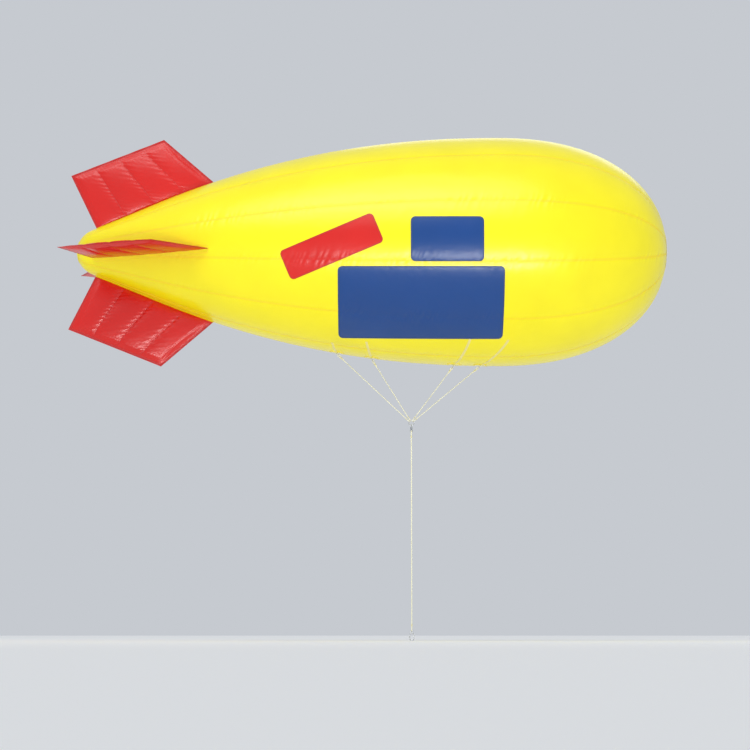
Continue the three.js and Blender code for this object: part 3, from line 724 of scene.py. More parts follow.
def carried(path, face, profile, closed=False):
    """Rings of a profile carried along a path: its second axis lies as near to the face direction
    as the path allows, and its first is square to both. The path's direction is the difference of
    each point's neighbours."""
    if closed:
        ahead = np.roll(path, -1, 0) - np.roll(path, 1, 0)
    else:
        ahead = np.gradient(path, axis=0)
    ahead = ahead / np.linalg.norm(ahead, axis=1, keepdims=True)
    face = face - ahead * np.sum(face * ahead, 1, keepdims=True)
    face = face / np.linalg.norm(face, axis=1, keepdims=True)
    out = np.cross(ahead, face)
    return path[:, None] + profile[..., :1] * out[:, None] + profile[..., 1:] * face[:, None]


def rounded(width, thickness, corner, steps=3):
    """Profile of a rounded rectangle: quarter circles at the four corners."""
    signs = np.array([(1, 1), (-1, 1), (-1, -1), (1, -1)])
    turn = np.linspace(0, np.pi / 2, steps) + np.arange(4)[:, None] * np.pi / 2
    middles = signs * (width / 2 - corner, thickness / 2 - corner)
    arcs = middles[:, None] + corner * np.stack([np.cos(turn), np.sin(turn)], -1)
    return arcs.reshape(-1, 2)


def lie_along(path, profile):
    """Texture places for rings carried along a path: metres along it, and metres round the profile."""
    around = run_along(np.vstack([profile, profile[:1]]))
    return np.stack(np.meshgrid(run_along(path), around, indexing="ij"), -1)


MM = 0.001
# Scale of a diagonal wave texture whose bands are one metre apart.
DIAGONAL_WAVE = 2 * math.pi / 10
WEB_THREAD_MM = 3.0
WEB_RELIEF = 0.0006
TWILL_RELIEF = 0.0005


def woven_webbing(name, colour):
    """Woven polyester: threads that pass over and under each other, and a slight sheen from the
    straight fibres. The threads are drawn about three times too coarse, so that they show."""
    material, bsdf = new_material(name, Roughness=0.72, IOR=1.5, Sheen_Weight=0.25, Sheen_Roughness=0.4)
    lie = add_node(material, "UVMap", "UV", uv_map="lie")
    to_threads = (1000 / WEB_THREAD_MM, 1000 / WEB_THREAD_MM, 1)
    scaled = add_node(material, "Mapping", "Vector", {"Scale": to_threads}, {"Vector": lie})
    checks = add_node(material, "TexChecker", "Fac", {"Scale": 1.0}, {"Vector": scaled})
    slanted = add_node(
        material, "TexWave", "Fac", {"Scale": DIAGONAL_WAVE / (WEB_THREAD_MM * MM)}, {"Vector": lie},
        wave_type="BANDS", bands_direction="DIAGONAL",
    )
    tone = add_node(material, "MapRange", "Result", {"To Min": 0.93, "To Max": 1.0}, {"Value": checks})
    dyed = add_node(material, "HueSaturation", "Color", {"Color": linear(colour)}, {"Value": tone})
    weave = add_node(
        material, "Bump", "Normal", {"Strength": 0.8, "Distance": WEB_RELIEF}, {"Height": checks},
    )
    twill = add_node(
        material, "Bump", "Normal", {"Strength": 0.5, "Distance": TWILL_RELIEF},
        {"Height": slanted, "Normal": weave},
    )
    join_nodes(material, bsdf, {"Base Color": dyed, "Normal": twill})
    return material, "cream_webbing"


PORT = np.array([0.0, 1.0, 0.0])
CREAM = 0xFAF6D6
cream_webbing = woven_webbing("woven_polyester_webbing_cream", colour=CREAM)
web_profile = rounded(LOOP_WIDTH, WEB_THICKNESS, WEB_THICKNESS * WEB_ROUNDING)
loop_turn = np.radians(np.linspace(225, -45, 10))
loop_radius = LOOP_INNER + WEB_THICKNESS / 2
flat_lift = BAND_LIFT + PATCH_THICKNESS + WEB_THICKNESS * 0.6
# One tab of the webbing from its end to the foot of the loop: distance from the loop, lift.
web_tab = np.array([
    (WEB_TAB, flat_lift), (0.034, flat_lift), (0.020, flat_lift), (0.0115, flat_lift + 0.0003),
])
web_line = smooth_path(np.concatenate([
    web_tab * (-1, 1),
    np.stack([loop_radius * np.cos(loop_turn), LOOP_LIFT + loop_radius * np.sin(loop_turn)], -1),
    web_tab[::-1],
]), WEB_STEP)
for point_name, keel_station, *_ in LOAD_POINTS:
    patch_node = f"load_patch_{point_name}"
    rings, past_weld = patch_rings(keel_station)
    add_piece(
        f"load_patch_film_{point_name}", rings, yellow_film, "blimp", patch_node, past_weld=past_weld,
    )
    web_path = hull_point(keel_station + web_line[:, 0], 0.0, web_line[:, 1])
    add_piece(
        f"load_loop_web_{point_name}", carried(web_path, PORT, web_profile[:, ::-1]),
        cream_webbing, "blimp", patch_node, uv=lie_along(web_path, web_profile),
    )


# Load tapes
# Webbing tapes welded on the film run from each patch up both flanks, in line with the pull of the
# bridle, and spread it over the lower gores.
TAPE_WIDTH = 0.025
TAPE_THICKNESS = 0.002
TAPE_START = PATCH_RADIUS + 0.002
TAPE_STEP = 0.006
# How many times deeper than its real underside the tape reaches into the film.
TAPE_SINK = 2.2
tape_profile = rounded(TAPE_WIDTH, TAPE_THICKNESS, TAPE_THICKNESS * WEB_ROUNDING)
tape_webbing = woven_webbing("woven_polyester_webbing_pale_yellow", colour=0xFFF290)


def tape_rings(keel_station, end_station, end_angle_deg, flank):
    """Straight strip on the unrolled skin from the keel to its end point, wrapped back on the hull:
    girth over radius is the angle. The rounded profile lies across it, follows the welds, and has
    its underside in the film."""
    end_girth = flank * math.radians(end_angle_deg) * hull_radius(end_station)
    end = np.array([end_station - keel_station, end_girth])
    length = np.hypot(*end)
    way = end / length
    run = np.linspace(TAPE_START, length, round((length - TAPE_START) / TAPE_STEP) + 1)[:, None]
    side, depth = tape_profile.T
    station = keel_station + run * way[0] + side * way[1]
    angle = (run * way[1] - side * way[0]) / hull_radius(station)
    depth = np.where(depth < 0, TAPE_SINK, 1) * depth
    lift = film_lift(station, angle) + BAND_LIFT + TAPE_THICKNESS / 2 + depth
    return hull_point(station, angle, lift), lie_along(run, tape_profile)


for point_name, keel_station, end_station, end_angle, _ in LOAD_POINTS:
    for flank_name, flank in (("port", 1), ("starboard", -1)):
        rings, lie = tape_rings(keel_station, end_station, end_angle, flank)
        add_piece(
            f"load_tape_web_{point_name}_{flank_name}", rings, tape_webbing, "blimp",
            f"load_tape_{point_name}_{flank_name}", uv=lie,
        )


# D-rings
# Bent from zinc-plated steel rod and butt-welded in the straight side, which sits in the webbing
# loop. The round side takes the eye of the bridle line.
RING_RADIUS = 0.017
RING_STOCK = 0.0025
RING_FLAT = 0.007
BRIDLE_RADIUS = 0.027
BRIDLE_STOCK = 0.0035
BRIDLE_CENTRE = np.array([0.0, 0.0, -1.748])
CLEAR = 0.0003
RING_BEAD = 0.12
BEAD_WIDTH = 0.0022
D_RING_BEAD = 0.14
D_BEAD_WIDTH = 0.12 * RING_RADIUS
CLOUD_MM = 6
MARK_RELIEF = 0.00015


def steel(name, colour, rough, mark_mm, scratch):
    """Bright metal dulled by fine tumbling or turning marks, whose polish varies in small clouds."""
    material, bsdf = new_material(name, Metallic=1.0, Base_Color=linear(colour))
    place = add_node(material, "TexCoord", "Object")
    clouds, marks = (
        add_node(material, "TexNoise", "Fac", {"Scale": 1000 / size, "Detail": detail}, {"Vector": place})
        for size, detail in ((CLOUD_MM, 3.0), (mark_mm, 4.0))
    )
    spread = add_node(
        material, "MapRange", "Result", {"To Min": rough - 0.07, "To Max": rough + 0.12},
        {"Value": clouds},
    )
    relief = add_node(
        material, "Bump", "Normal", {"Strength": scratch, "Distance": MARK_RELIEF}, {"Height": marks},
    )
    join_nodes(material, bsdf, {"Roughness": spread, "Normal": relief})
    return material, "steel"


def unit(vector):
    """Vector of length one along the given one."""
    return vector / np.linalg.norm(vector)


def circle(radius, sides):
    """Profile of a round rod: points evenly round a circle."""
    turn = np.linspace(0, 2 * np.pi, sides, endpoint=False)
    return radius * np.stack([np.cos(turn), np.sin(turn)], -1)


def rod_ring(centre, first, second, radius, stock, bead_deg, bead=RING_BEAD, bead_width=BEAD_WIDTH,
             flat=math.inf, steps=96, sides=18):
    """Round rod bent to a ring in the plane of two directions, with a straight side where it would
    pass a height along the second. At its weld it is thicker by a narrow bell curve."""
    turn = np.linspace(0, 2 * np.pi, steps, endpoint=False)[:, None]
    path = centre + radius * np.cos(turn) * first + np.minimum(radius * np.sin(turn), flat) * second
    from_bead = np.abs((turn - math.radians(bead_deg) + np.pi) % (2 * np.pi) - np.pi) * radius
    swell = 1 + bead * np.exp(-((from_bead / bead_width) ** 2))
    return carried(path, np.cross(first, second), circle(stock, sides) * swell[..., None], closed=True)


plated_steel = steel("zinc_plated_steel_rod", colour=0xC4C6C8, rough=0.30, mark_mm=0.9, scratch=0.5)
line_ends = {}
for point_name, keel_station, _, _, ring_angle in LOAD_POINTS:
    loop_centre = hull_point(np.array(keel_station), 0.0, LOOP_LIFT)
    foot_turn = math.radians(ring_angle)
    ring_seat = BRIDLE_CENTRE + BRIDLE_RADIUS * np.array([math.cos(foot_turn), 0.0, math.sin(foot_turn)])
    pull = unit(loop_centre - ring_seat)
    d_centre = loop_centre - pull * (LOOP_INNER - RING_STOCK - CLEAR + RING_FLAT)
    rings = rod_ring(
        d_centre, PORT, pull, RING_RADIUS, RING_STOCK, bead_deg=90, bead=D_RING_BEAD,
        bead_width=D_BEAD_WIDTH, flat=RING_FLAT, steps=72, sides=14,
    )
    add_piece(
        f"load_ring_rod_{point_name}", rings, plated_steel, "blimp", f"load_ring_{point_name}",
        closed=True,
    )
    line_ends[point_name] = (d_centre - pull * RING_RADIUS, ring_seat, pull)


# Bridle lines
# Four taut lines of three-strand polyester rope. Each end goes round the steel, lies back on the
# line and is seized to it with twine.
LINE_RADIUS = 0.004
LINE_EYE_RADIUS = 0.0095
LINE_STEP = 0.0032
LINE_SEIZING = 0.016
STRANDS = 3
STRAND_SHARE = 0.57
ROPE_SIDES = 24
LAY_LENGTHS = 7.0
HOLLOW_DEPTH = 0.30
YARN_RELIEF = 0.0002
SEIZING_SIDES = 28
STEPS_A_TURN = 10
# Sizes of a seizing in radii of its rope: the twine's thickness, where the seizing starts past the
# eye, how far its ends and its turns stand out, and how far its half circles lie from the middle.
TWINE_SHARE = 0.28
SEIZING_START = 1.6
SEIZING_END = 0.98
SEIZING_TURN = 1.05
SEIZING_SPREAD = 0.95


def laid_rope(name, colour, yarn_mm):
    """Laid polyester: painted shade, a faint grey in the hollows between the strands, yarns that run
    slantwise on each strand, and the dull sheen of spun fibre. The yarns are drawn coarse, so that they
    show."""
    material, bsdf = new_material(name, Roughness=0.8, IOR=1.5, Sheen_Weight=0.3, Sheen_Roughness=0.5)
    lie = add_node(material, "UVMap", "UV", uv_map="lie")
    wave_scale = DIAGONAL_WAVE / (yarn_mm * MM)
    yarns = add_node(
        material, "TexWave", "Fac", {"Scale": wave_scale, "Distortion": 1.5, "Detail": 2.0},
        {"Vector": lie}, wave_type="BANDS", bands_direction="DIAGONAL",
    )
    hollow = add_node(material, "Attribute", "Fac", attribute_name="hollow")
    # Painted shade: the colour darkens to nine tenths deep in a hollow.
    tone = add_node(material, "MapRange", "Result", {"To Min": 1.0, "To Max": 0.90}, {"Value": hollow})
    dyed = add_node(material, "HueSaturation", "Color", {"Color": linear(colour)}, {"Value": tone})
    relief = add_node(
        material, "Bump", "Normal", {"Strength": 0.5, "Distance": YARN_RELIEF}, {"Height": yarns},
    )
    join_nodes(material, bsdf, {"Base Color": dyed, "Normal": relief})
    return material, "cream_rope"


def strand_profile(path, radius):
    """Section of a rope at each point of its path: three overlapping circles, seen as the far edge
    of the nearest one at each angle, turned once for each lay. The number that goes with each
    point is zero on the strands and rises to one deep in a hollow, where the material paints shade."""
    turn = np.linspace(0, 2 * np.pi, ROPE_SIDES, endpoint=False)
    twist = 2 * np.pi * run_along(path)[:, None] / (LAY_LENGTHS * radius)
    strands_on = (turn - twist) * STRANDS / (2 * np.pi)
    from_strand = (strands_on - np.round(strands_on)) * 2 * np.pi / STRANDS
    strand = STRAND_SHARE * radius
    centre = radius - strand
    far_edge = strand ** 2 - (centre * np.sin(from_strand)) ** 2
    reach = centre * np.cos(from_strand) + np.sqrt(np.maximum(0.02 * strand ** 2, far_edge))
    hollow = np.clip((radius - reach) / (HOLLOW_DEPTH * radius), 0, 1) ** 2
    return reach[..., None] * circle(1.0, ROPE_SIDES), hollow


def eye_points(centre, side, radius, rope, inward):
    """Points of a rope from its cut end, round an eye and back to the line: beside the line, round
    the circle, and in to the line's middle. Inward is the way from the eye along the line."""
    turn = np.radians(np.linspace(-42, 222, 12))[:, None]
    loop = centre + radius * (np.cos(turn) * side - np.sin(turn) * inward)
    # How far the rope lies from the eye's rim and from the line's middle, in radii of the rope.
    tail_on, tail_off = np.array([(11, 1), (6, 1), (2, 1)]).T[..., None]
    lead_on, lead_off = np.array([(2, 1), (7, 0.9), (13, 0.3), (18, 0)]).T[..., None]
    tail = centre + inward * (radius * 2 + rope * tail_on) + side * rope * tail_off
    lead = centre + inward * (radius * 2 + rope * lead_on) - side * rope * lead_off
    return np.vstack([tail, loop, lead])


def add_line(rope_name, seizing_name, ends, rope, eye_radius, step, seizing, body, node):
    """Taut rope with an eye at its top and low end, each given as its centre and the direction
    across it, and twine wound over the two ropes beside each eye. The rope's reference direction
    turns evenly from one eye's plane to the other's. The seizing is a stadium section carried
    along the line, whose size rises and falls once for each turn of twine."""
    (top, top_side), (low, low_side) = ends
    way = unit(low - top)
    start = eye_points(top, top_side, eye_radius, rope, way)
    finish = eye_points(low, low_side, eye_radius, rope, -way)
    gap = np.linalg.norm(finish[-1] - start[-1])
    middle = np.linspace(start[-1], finish[-1], round(gap / (rope * 5)) + 1)[1:-1]
    path = smooth_path(np.vstack([start, middle, finish[::-1]]), step)
    share = np.clip(((path - top) @ way) / np.linalg.norm(low - top) * 3 - 1, 0, 1)[:, None]
    face = np.cross(way, top_side) * (1 - share) + np.cross(way, low_side) * share
    profile, hollow = strand_profile(path, rope)
    add_piece(
        rope_name, carried(path, face, profile), cream_rope, body, node,
        uv=lie_along(path, circle(rope, ROPE_SIDES)), hollow=hollow, crease_deg=60,
    )
    twine = rope * TWINE_SHARE
    run = np.linspace(0, seizing, round(seizing / (2 * twine) * STEPS_A_TURN))[:, None]
    # Hollow is one between turns of twine: the section sinks there, and its square gives the twine painted
    # shade.
    hollow = 1 - np.abs(np.sin(np.pi * run / (2 * twine)))
    swell = rope * SEIZING_TURN + twine * 0.5 * (2 - hollow)
    swell[[0, -1]] = rope * SEIZING_END
    cos, sin = circle(1.0, SEIZING_SIDES).T
    section = np.stack([cos * swell + np.sign(cos) * rope * SEIZING_SPREAD, sin * swell], -1)
    for end_name, eye, side, inward in (("top", top, top_side, way), ("low", low, low_side, -way)):
        line = eye + inward * (eye_radius * 2 + rope * SEIZING_START + run)
        rings = line[:, None] + section[..., :1] * side + section[..., 1:] * np.cross(inward, side)
        add_piece(
            f"{seizing_name}_{end_name}", rings, seizing_twine, body, node,
            uv=lie_along(line, section[1]), hollow=hollow ** 2,
        )


cream_rope = laid_rope("three_strand_polyester_rope_cream", colour=CREAM, yarn_mm=1.2)
seizing_twine = laid_rope("waxed_seizing_twine", colour=0xE9E2B4, yarn_mm=0.8)
for point_name, (ring_top, ring_seat, pull) in line_ends.items():
    eye_inner = LINE_EYE_RADIUS - LINE_RADIUS
    top_eye = ring_top - pull * (eye_inner - RING_STOCK - CLEAR)
    low_eye = ring_seat + pull * (eye_inner - BRIDLE_STOCK - CLEAR)
    add_line(
        f"bridle_rope_{point_name}", f"bridle_seizing_{point_name}",
        ((top_eye, np.cross(PORT, pull)), (low_eye, PORT)), LINE_RADIUS, LINE_EYE_RADIUS, LINE_STEP,
        LINE_SEIZING, "blimp", f"bridle_line_{point_name}",
    )


# Bridle ring
# One forged steel ring, zinc-plated and welded shut, in which the four lines meet. Its weld is a
# little thicker than the rod. The swivel's eye hangs in it.
UP = np.array([0.0, 0.0, 1.0])
FORWARD = np.array([1.0, 0.0, 0.0])
add_piece(
    "bridle_ring_rod",
    rod_ring(BRIDLE_CENTRE, FORWARD, UP, BRIDLE_RADIUS, BRIDLE_STOCK, bead_deg=200),
    plated_steel, "blimp", "bridle_ring", closed=True,
)


# Swivel
# A turned steel barrel hangs in the ring by its eye. The lower eye's shank turns in it on a hidden
# ball race, so that the tether can't twist the bridle.
SWIVEL_EYE = 0.011
SWIVEL_STOCK = 0.0035
BARREL_LENGTH = 0.026
COLLAR_GAP = 0.0005
COLLAR_LENGTH = 0.005
EYE_SINK = 0.001
SWIVEL_SIDES = 64
turned_steel = steel("turned_stainless_steel", colour=0xB4B8BC, rough=0.24, mark_mm=0.6, scratch=0.35)


def lathe_rings(rows, sides, centre, *axes):
    """Lathe work: each row is a radius and a height, and makes a circle in the plane of the first
    two axes, moved along the third by the height."""
    radius, height = np.array(rows).T[..., None]
    cos, sin = circle(1.0, sides).T
    return centre + points_at(radius * cos, radius * sin, height) @ np.array(axes)


barrel_low, barrel_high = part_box("swivel_barrel")
barrel_radius = barrel_high.x
barrel_bottom = barrel_low.z
barrel_top = barrel_bottom + BARREL_LENGTH
add_piece(
    "swivel_upper_eye",
    rod_ring(UP * (barrel_top + SWIVEL_EYE), PORT, UP, SWIVEL_EYE, SWIVEL_STOCK, bead_deg=270),
    turned_steel, "swivel_top", "swivel_barrel", closed=True,
)
# Radius and height of each edge, from the barrel's top down its side and up its bore.
barrel_rows = (
    (0.0036, barrel_top + 0.0016), (0.0052, barrel_top + 0.0014), (0.0085, barrel_top - 0.0004),
    (barrel_radius - 0.0008, barrel_top - 0.0022), (barrel_radius, barrel_top - 0.0036),
    (barrel_radius, barrel_top - 0.0085), (barrel_radius - 0.0009, barrel_top - 0.0092),
    (barrel_radius - 0.0009, barrel_top - 0.0108), (barrel_radius, barrel_top - 0.0115),
    (barrel_radius, barrel_bottom + 0.0012), (barrel_radius - 0.0010, barrel_bottom),
    (0.0056, barrel_bottom), (0.0053, barrel_bottom + 0.0006), (0.0053, barrel_bottom + 0.0156),
    (0.0005, barrel_bottom + 0.0158),
)
add_piece(
    "swivel_barrel_turned", lathe_rings(barrel_rows, SWIVEL_SIDES, np.zeros(3), FORWARD, PORT, UP),
    turned_steel, "swivel_top", "swivel_barrel",
)

collar_top = barrel_bottom - COLLAR_GAP
collar_bottom = collar_top - COLLAR_LENGTH
lower_eye = UP * (collar_bottom - SWIVEL_EYE + EYE_SINK)
add_piece(
    "swivel_lower_eye",
    rod_ring(lower_eye, FORWARD, UP, SWIVEL_EYE, SWIVEL_STOCK, bead_deg=90),
    turned_steel, "swivel_bottom", "swivel_eye", closed=True,
)
# The shank in the bore, then the collar under the barrel.
collar_rows = (
    (0.0005, barrel_bottom + 0.0150), (0.0046, barrel_bottom + 0.0150), (0.0050, barrel_bottom + 0.0145),
    (0.0050, collar_top), (0.0083, collar_top), (0.0090, collar_top - 0.0008),
    (0.0090, collar_bottom + 0.0012), (0.0080, collar_bottom), (0.0045, collar_bottom - 0.0012),
    (0.0005, collar_bottom - 0.0014),
)
add_piece(
    "swivel_collar_turned", lathe_rings(collar_rows, SWIVEL_SIDES, np.zeros(3), FORWARD, PORT, UP),
    turned_steel, "swivel_bottom", "swivel_eye",
)


# Tether
# One thicker rope of the same make, from the swivel down to the snap hook, with a seized eye at
# each end. It is cut to this length to hold the hull well above head height.
TETHER_RADIUS = 0.006
TETHER_EYE_RADIUS = 0.012
TETHER_STEP = 0.0042
TETHER_SEIZING = 0.024
tether_low, tether_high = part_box("tether")
eye_inset = UP * (TETHER_EYE_RADIUS + TETHER_RADIUS)
add_line(
    "tether_rope", "tether_seizing",
    ((UP * tether_high.z - eye_inset, PORT), (UP * tether_low.z + eye_inset, PORT)),
    TETHER_RADIUS, TETHER_EYE_RADIUS, TETHER_STEP, TETHER_SEIZING, "tether_line", "tether",
)


# Snap hook
# Drop-forged from one bar, zinc-plated, with a sprung gate riveted between two cheeks. It clips
# the tether to an anchor on the ground.
HOOK_HALF_WIDTH = 0.025
HOOK_BAR = 0.009
HOOK_THICKNESS = 0.010
HOOK_STRAIGHT = 0.034
HOOK_EDGE = 0.0026
HOOK_STEP = 0.0006
BAR_END_EDGE = 0.0015
HOOK_EYE_RADIUS = 0.014
HOOK_EYE_HOLE = 0.008
HOOK_EYE_THICKNESS = 0.004
HOOK_EYE_EDGE = 0.0014
NECK_START = 0.0098
NECK_LENGTH = 0.0072
# Width and thickness of the neck at its top and at its foot.
NECK_WIDTH = (0.0100, 0.0200)
NECK_THICKNESS = (0.0036, 0.0080)
NECK_EDGE = 0.0015
CHEEK_THICKNESS = 0.0021
CHEEK_DROP = 0.004
CHEEK_EDGE = 0.0006
CHEEK_INSET = 0.00015
RIVET_RADIUS = 0.0026
RIVET_SIDES = 28
GATE_WIDTH = 0.0084
GATE_THICKNESS = 0.0044
GATE_EDGE = 0.0012
GATE_GAP = 0.0015
GRIP_PITCH = 0.0016
GRIP_DEPTH_SHARE = 0.035
# Where the grip fades in and where it ends, from the gate's head, and how long each end is.
GRIP_FOOT, GRIP_FOOT_FADE = 0.013, 0.002
GRIP_HEAD, GRIP_HEAD_FADE = 0.003, 0.001
hook_eye = UP * (FLOOR_HEIGHT + HOOK_EYE_RADIUS + 2 * HOOK_HALF_WIDTH + HOOK_STRAIGHT)
hook_middle = hook_eye - UP * (HOOK_EYE_RADIUS + HOOK_HALF_WIDTH + HOOK_STRAIGHT / 2)
hook_bend = HOOK_HALF_WIDTH - HOOK_BAR / 2
gate_pivot = hook_middle + FORWARD * hook_bend - UP * (HOOK_STRAIGHT - GATE_WIDTH) / 2
gate_length = HOOK_STRAIGHT - GATE_WIDTH / 2 - GATE_GAP


def plate_rings(outline, thickness, edge, centre, first, second):
    """Flat piece with rounded edges: its outline, in the plane of two directions, is drawn in by a
    quarter circle towards both faces."""
    run = np.roll(outline, -1, 0) - np.roll(outline, 1, 0)
    inward = np.stack([-run[:, 1], run[:, 0]], -1) / np.linalg.norm(run, axis=1)[:, None]
    turn = np.linspace(0, np.pi / 2, 4)
    inset = edge * (1 - np.sin(np.append(turn, turn[::-1])))
    height = thickness / 2 - edge * (1 - np.cos(turn))
    height = np.append(height, -height[::-1])[:, None, None] * np.cross(first, second)
    flat = outline + inset[:, None, None] * inward
    return centre + flat[..., :1] * first + flat[..., 1:] * second + height


def stadium(half, low, high):
    """Outline of two half circles joined by straight sides, from a low centre to a high one."""
    turn = np.linspace(0, np.pi, 20)[:, None]
    arc = half * np.hstack([np.cos(turn), np.sin(turn)])
    return np.concatenate([(0.0, high) + arc, (0.0, low) - arc])


def bend(turn, centre, radius):
    """Points round part of a circle in the hook's plane."""
    return centre + radius * (np.cos(turn)[:, None] * FORWARD + np.sin(turn)[:, None] * UP)


forged_steel = steel("zinc_plated_forging", colour=0xBDBFC0, rough=0.34, mark_mm=1.4, scratch=0.8)
half_straight = UP * HOOK_STRAIGHT / 2
last_turn = 2 * math.pi - math.asin(CHEEK_DROP / hook_bend)
hook_path = smooth_path(np.vstack([
    bend(np.linspace(0, math.pi, 64), hook_middle + half_straight, hook_bend),
    hook_middle - FORWARD * hook_bend + np.linspace(1, -1, 34)[1:-1, None] * half_straight,
    bend(np.linspace(math.pi, last_turn, 60), hook_middle - half_straight, hook_bend),
]), HOOK_STEP)
steps_on = np.arange(len(hook_path))
from_end = np.minimum(steps_on, steps_on[::-1]) * HOOK_STEP
bar_share = 1 - 2 * quarter_inset(BAR_END_EDGE, BAR_END_EDGE - from_end) / HOOK_BAR
bar_profile = rounded(HOOK_BAR, HOOK_THICKNESS, HOOK_EDGE, 5) * bar_share[:, None, None]
add_piece(
    "hook_bar_forging", carried(hook_path, PORT, bar_profile), forged_steel, "snap_hook", "hook_body",
)

eye_turn = np.linspace(0, 2 * np.pi, 64, endpoint=False)
eye_path = bend(eye_turn, hook_eye, (HOOK_EYE_RADIUS + HOOK_EYE_HOLE) / 2)
eye_profile = rounded(HOOK_EYE_RADIUS - HOOK_EYE_HOLE, HOOK_EYE_THICKNESS, HOOK_EYE_EDGE, 5)
add_piece(
    "hook_eye_forging", carried(eye_path, PORT, eye_profile, closed=True),
    forged_steel, "snap_hook", "hook_body", closed=True,
)

# The neck widens and thickens as a square from inside the eye's rim to inside the bar.
neck_share = np.linspace(0, 1, 12)
neck_path = hook_eye - UP * (NECK_START + NECK_LENGTH * neck_share)[:, None]
neck_profile = np.stack([
    rounded(between(NECK_WIDTH, square), between(NECK_THICKNESS, square), NECK_EDGE, 5)
    for square in neck_share ** 2
])
add_piece(
    "hook_neck_forging", carried(neck_path, PORT, neck_profile), forged_steel, "snap_hook", "hook_body",
)

cheek_outline = stadium(HOOK_BAR / 2, -GATE_WIDTH / 2 - CHEEK_DROP * 0.7, 0.0)
for side_name, side in (("port", PORT), ("starboard", -PORT)):
    cheek_place = gate_pivot + side * ((HOOK_THICKNESS - CHEEK_THICKNESS) / 2 - CHEEK_INSET)
    cheek = plate_rings(cheek_outline, CHEEK_THICKNESS, CHEEK_EDGE, cheek_place, FORWARD, UP)
    add_piece(f"hook_cheek_{side_name}", cheek, forged_steel, "snap_hook", "hook_body")


def pin_rings(ends, sides, centre, *axes):
    """Pin that is alike at both ends: rows of a radius and a height from its middle, given for one
    end, and lathe work from there to the other end."""
    ends = np.array(ends)
    return lathe_rings(np.vstack([ends, ends[::-1] * (1, -1)]), sides, centre, *axes)


rivet_end = np.array([
    (0.25, 0.0058), (0.62, 0.0056), (0.88, 0.0053), (1.0, 0.0049), (1.0, 0.0045), (0.6, 0.0044),
]) * (RIVET_RADIUS, 1)
add_piece(
    "hook_rivet", pin_rings(rivet_end, RIVET_SIDES, gate_pivot, FORWARD, UP, PORT),
    turned_steel, "snap_hook", "hook_body",
)

# The gate's foot is rounded about the rivet, and shallow ridges near its head give the thumb a grip.
foot_turn = np.linspace(0.12, np.pi / 2, 12)
gate_run = np.append(-GATE_WIDTH / 2 * np.cos(foot_turn), np.linspace(0, gate_length, 100)[1:])
gate_share = np.sqrt(1 - (np.minimum(gate_run, 0) / (GATE_WIDTH / 2)) ** 2)
from_head = gate_length - gate_run
ridged = np.clip((GRIP_FOOT - from_head) / GRIP_FOOT_FADE, 0, 1)
ridged = ridged * np.clip((from_head - GRIP_HEAD) / GRIP_HEAD_FADE, 0, 1)
ridges = 1 + np.cos(2 * np.pi * from_head / GRIP_PITCH)
gate_share = gate_share * (1 - GRIP_DEPTH_SHARE * ridged * ridges)
gate_share[-2:] = 0.94, 0.82
gate_shares = np.stack([gate_share, np.minimum(1, gate_share * 2)], -1)[:, None]
gate_profile = gate_shares * rounded(GATE_WIDTH, GATE_THICKNESS, GATE_EDGE, 4)
add_piece(
    "hook_gate_bar", carried(gate_pivot + UP * gate_run[:, None], PORT, gate_profile),
    plated_steel, "snap_gate", "hook_gate",
)


# Inflation valve
# Moulded in white PVC and welded into the port lower flank by its ribbed flange. The hinged lid,
# with a grooved rim and a pull tab, plugs the bore once the gas is in.
VALVE_BORE = 0.036
VALVE_TUBE = 0.045
VALVE_DEPTH = 0.025
VALVE_RISE = 0.014
VALVE_SIDES = 120
VALVE_FLANGE = 0.070
FLANGE_TOP = 0.004
FLANGE_RIB_PITCH = 0.0048
FLANGE_RIB_HEIGHT = 0.0003
LID_RADIUS = 0.050
LID_BASE = 0.0145
LID_TOP = 0.020
LID_GROOVES = 60
LID_GROOVE_DEPTH = 0.0007
PLUG_RADIUS = 0.034
HINGE_OFFSET = 0.060
HINGE_RISE = 0.010
PIN_RADIUS = 0.0016
PIN_SIDES = 20
KNUCKLE_RADIUS = 0.004
KNUCKLE_SIDES = 32
EAR_OFFSET = 0.014
EAR_LENGTH = 0.010
EAR_EDGE = 0.0008
STRAP_WIDTH = 0.016
STRAP_THICKNESS = 0.0042
STRAP_EDGE = 0.0012
STRAP_STEP = 0.0006
TAB_HALF_WIDTH = 0.007
TAB_THICKNESS = 0.0024
TAB_EDGE = 0.0009
TEXTURE_MM, TEXTURE_RELIEF = 1.6, 0.0001
SHADING_MM = 30


def moulded_pvc(name, colour):
    """Injection-moulded PVC: a satin surface from an eroded mould, with a very faint unevenness."""
    material, bsdf = new_material(name, Base_Color=linear(colour), IOR=1.53)
    place = add_node(material, "TexCoord", "Object")
    texture, cloud = (
        add_node(material, "TexNoise", "Fac", {"Scale": 1000 / size, "Detail": detail}, {"Vector": place})
        for size, detail in ((TEXTURE_MM, 2.0), (SHADING_MM, 1.0))
    )
    gloss = add_node(material, "MapRange", "Result", {"To Min": 0.38, "To Max": 0.50}, {"Value": cloud})
    relief = add_node(
        material, "Bump", "Normal", {"Strength": 0.5, "Distance": TEXTURE_RELIEF}, {"Height": texture},
    )
    join_nodes(material, bsdf, {"Roughness": gloss, "Normal": relief})
    return material, "white_plastic"


valve_origin = hull_point(np.array(VALVE_STATION), VALVE_ANGLE, 0.0)
valve_out = unit(hull_point(np.array(VALVE_STATION), VALVE_ANGLE, 0.01) - valve_origin)
valve_aft = unit(hull_point(np.array(VALVE_STATION - 0.001), VALVE_ANGLE, 0.0) - valve_origin)
valve_up = np.cross(valve_out, valve_aft)
valve_axes = (valve_aft, valve_up, valve_out)


def valve_place(aft, up, out):
    """Points in the valve's own frame, which lies on the skin, moved to where the valve is."""
    return valve_origin + points_at(aft, up, out) @ np.array(valve_axes)


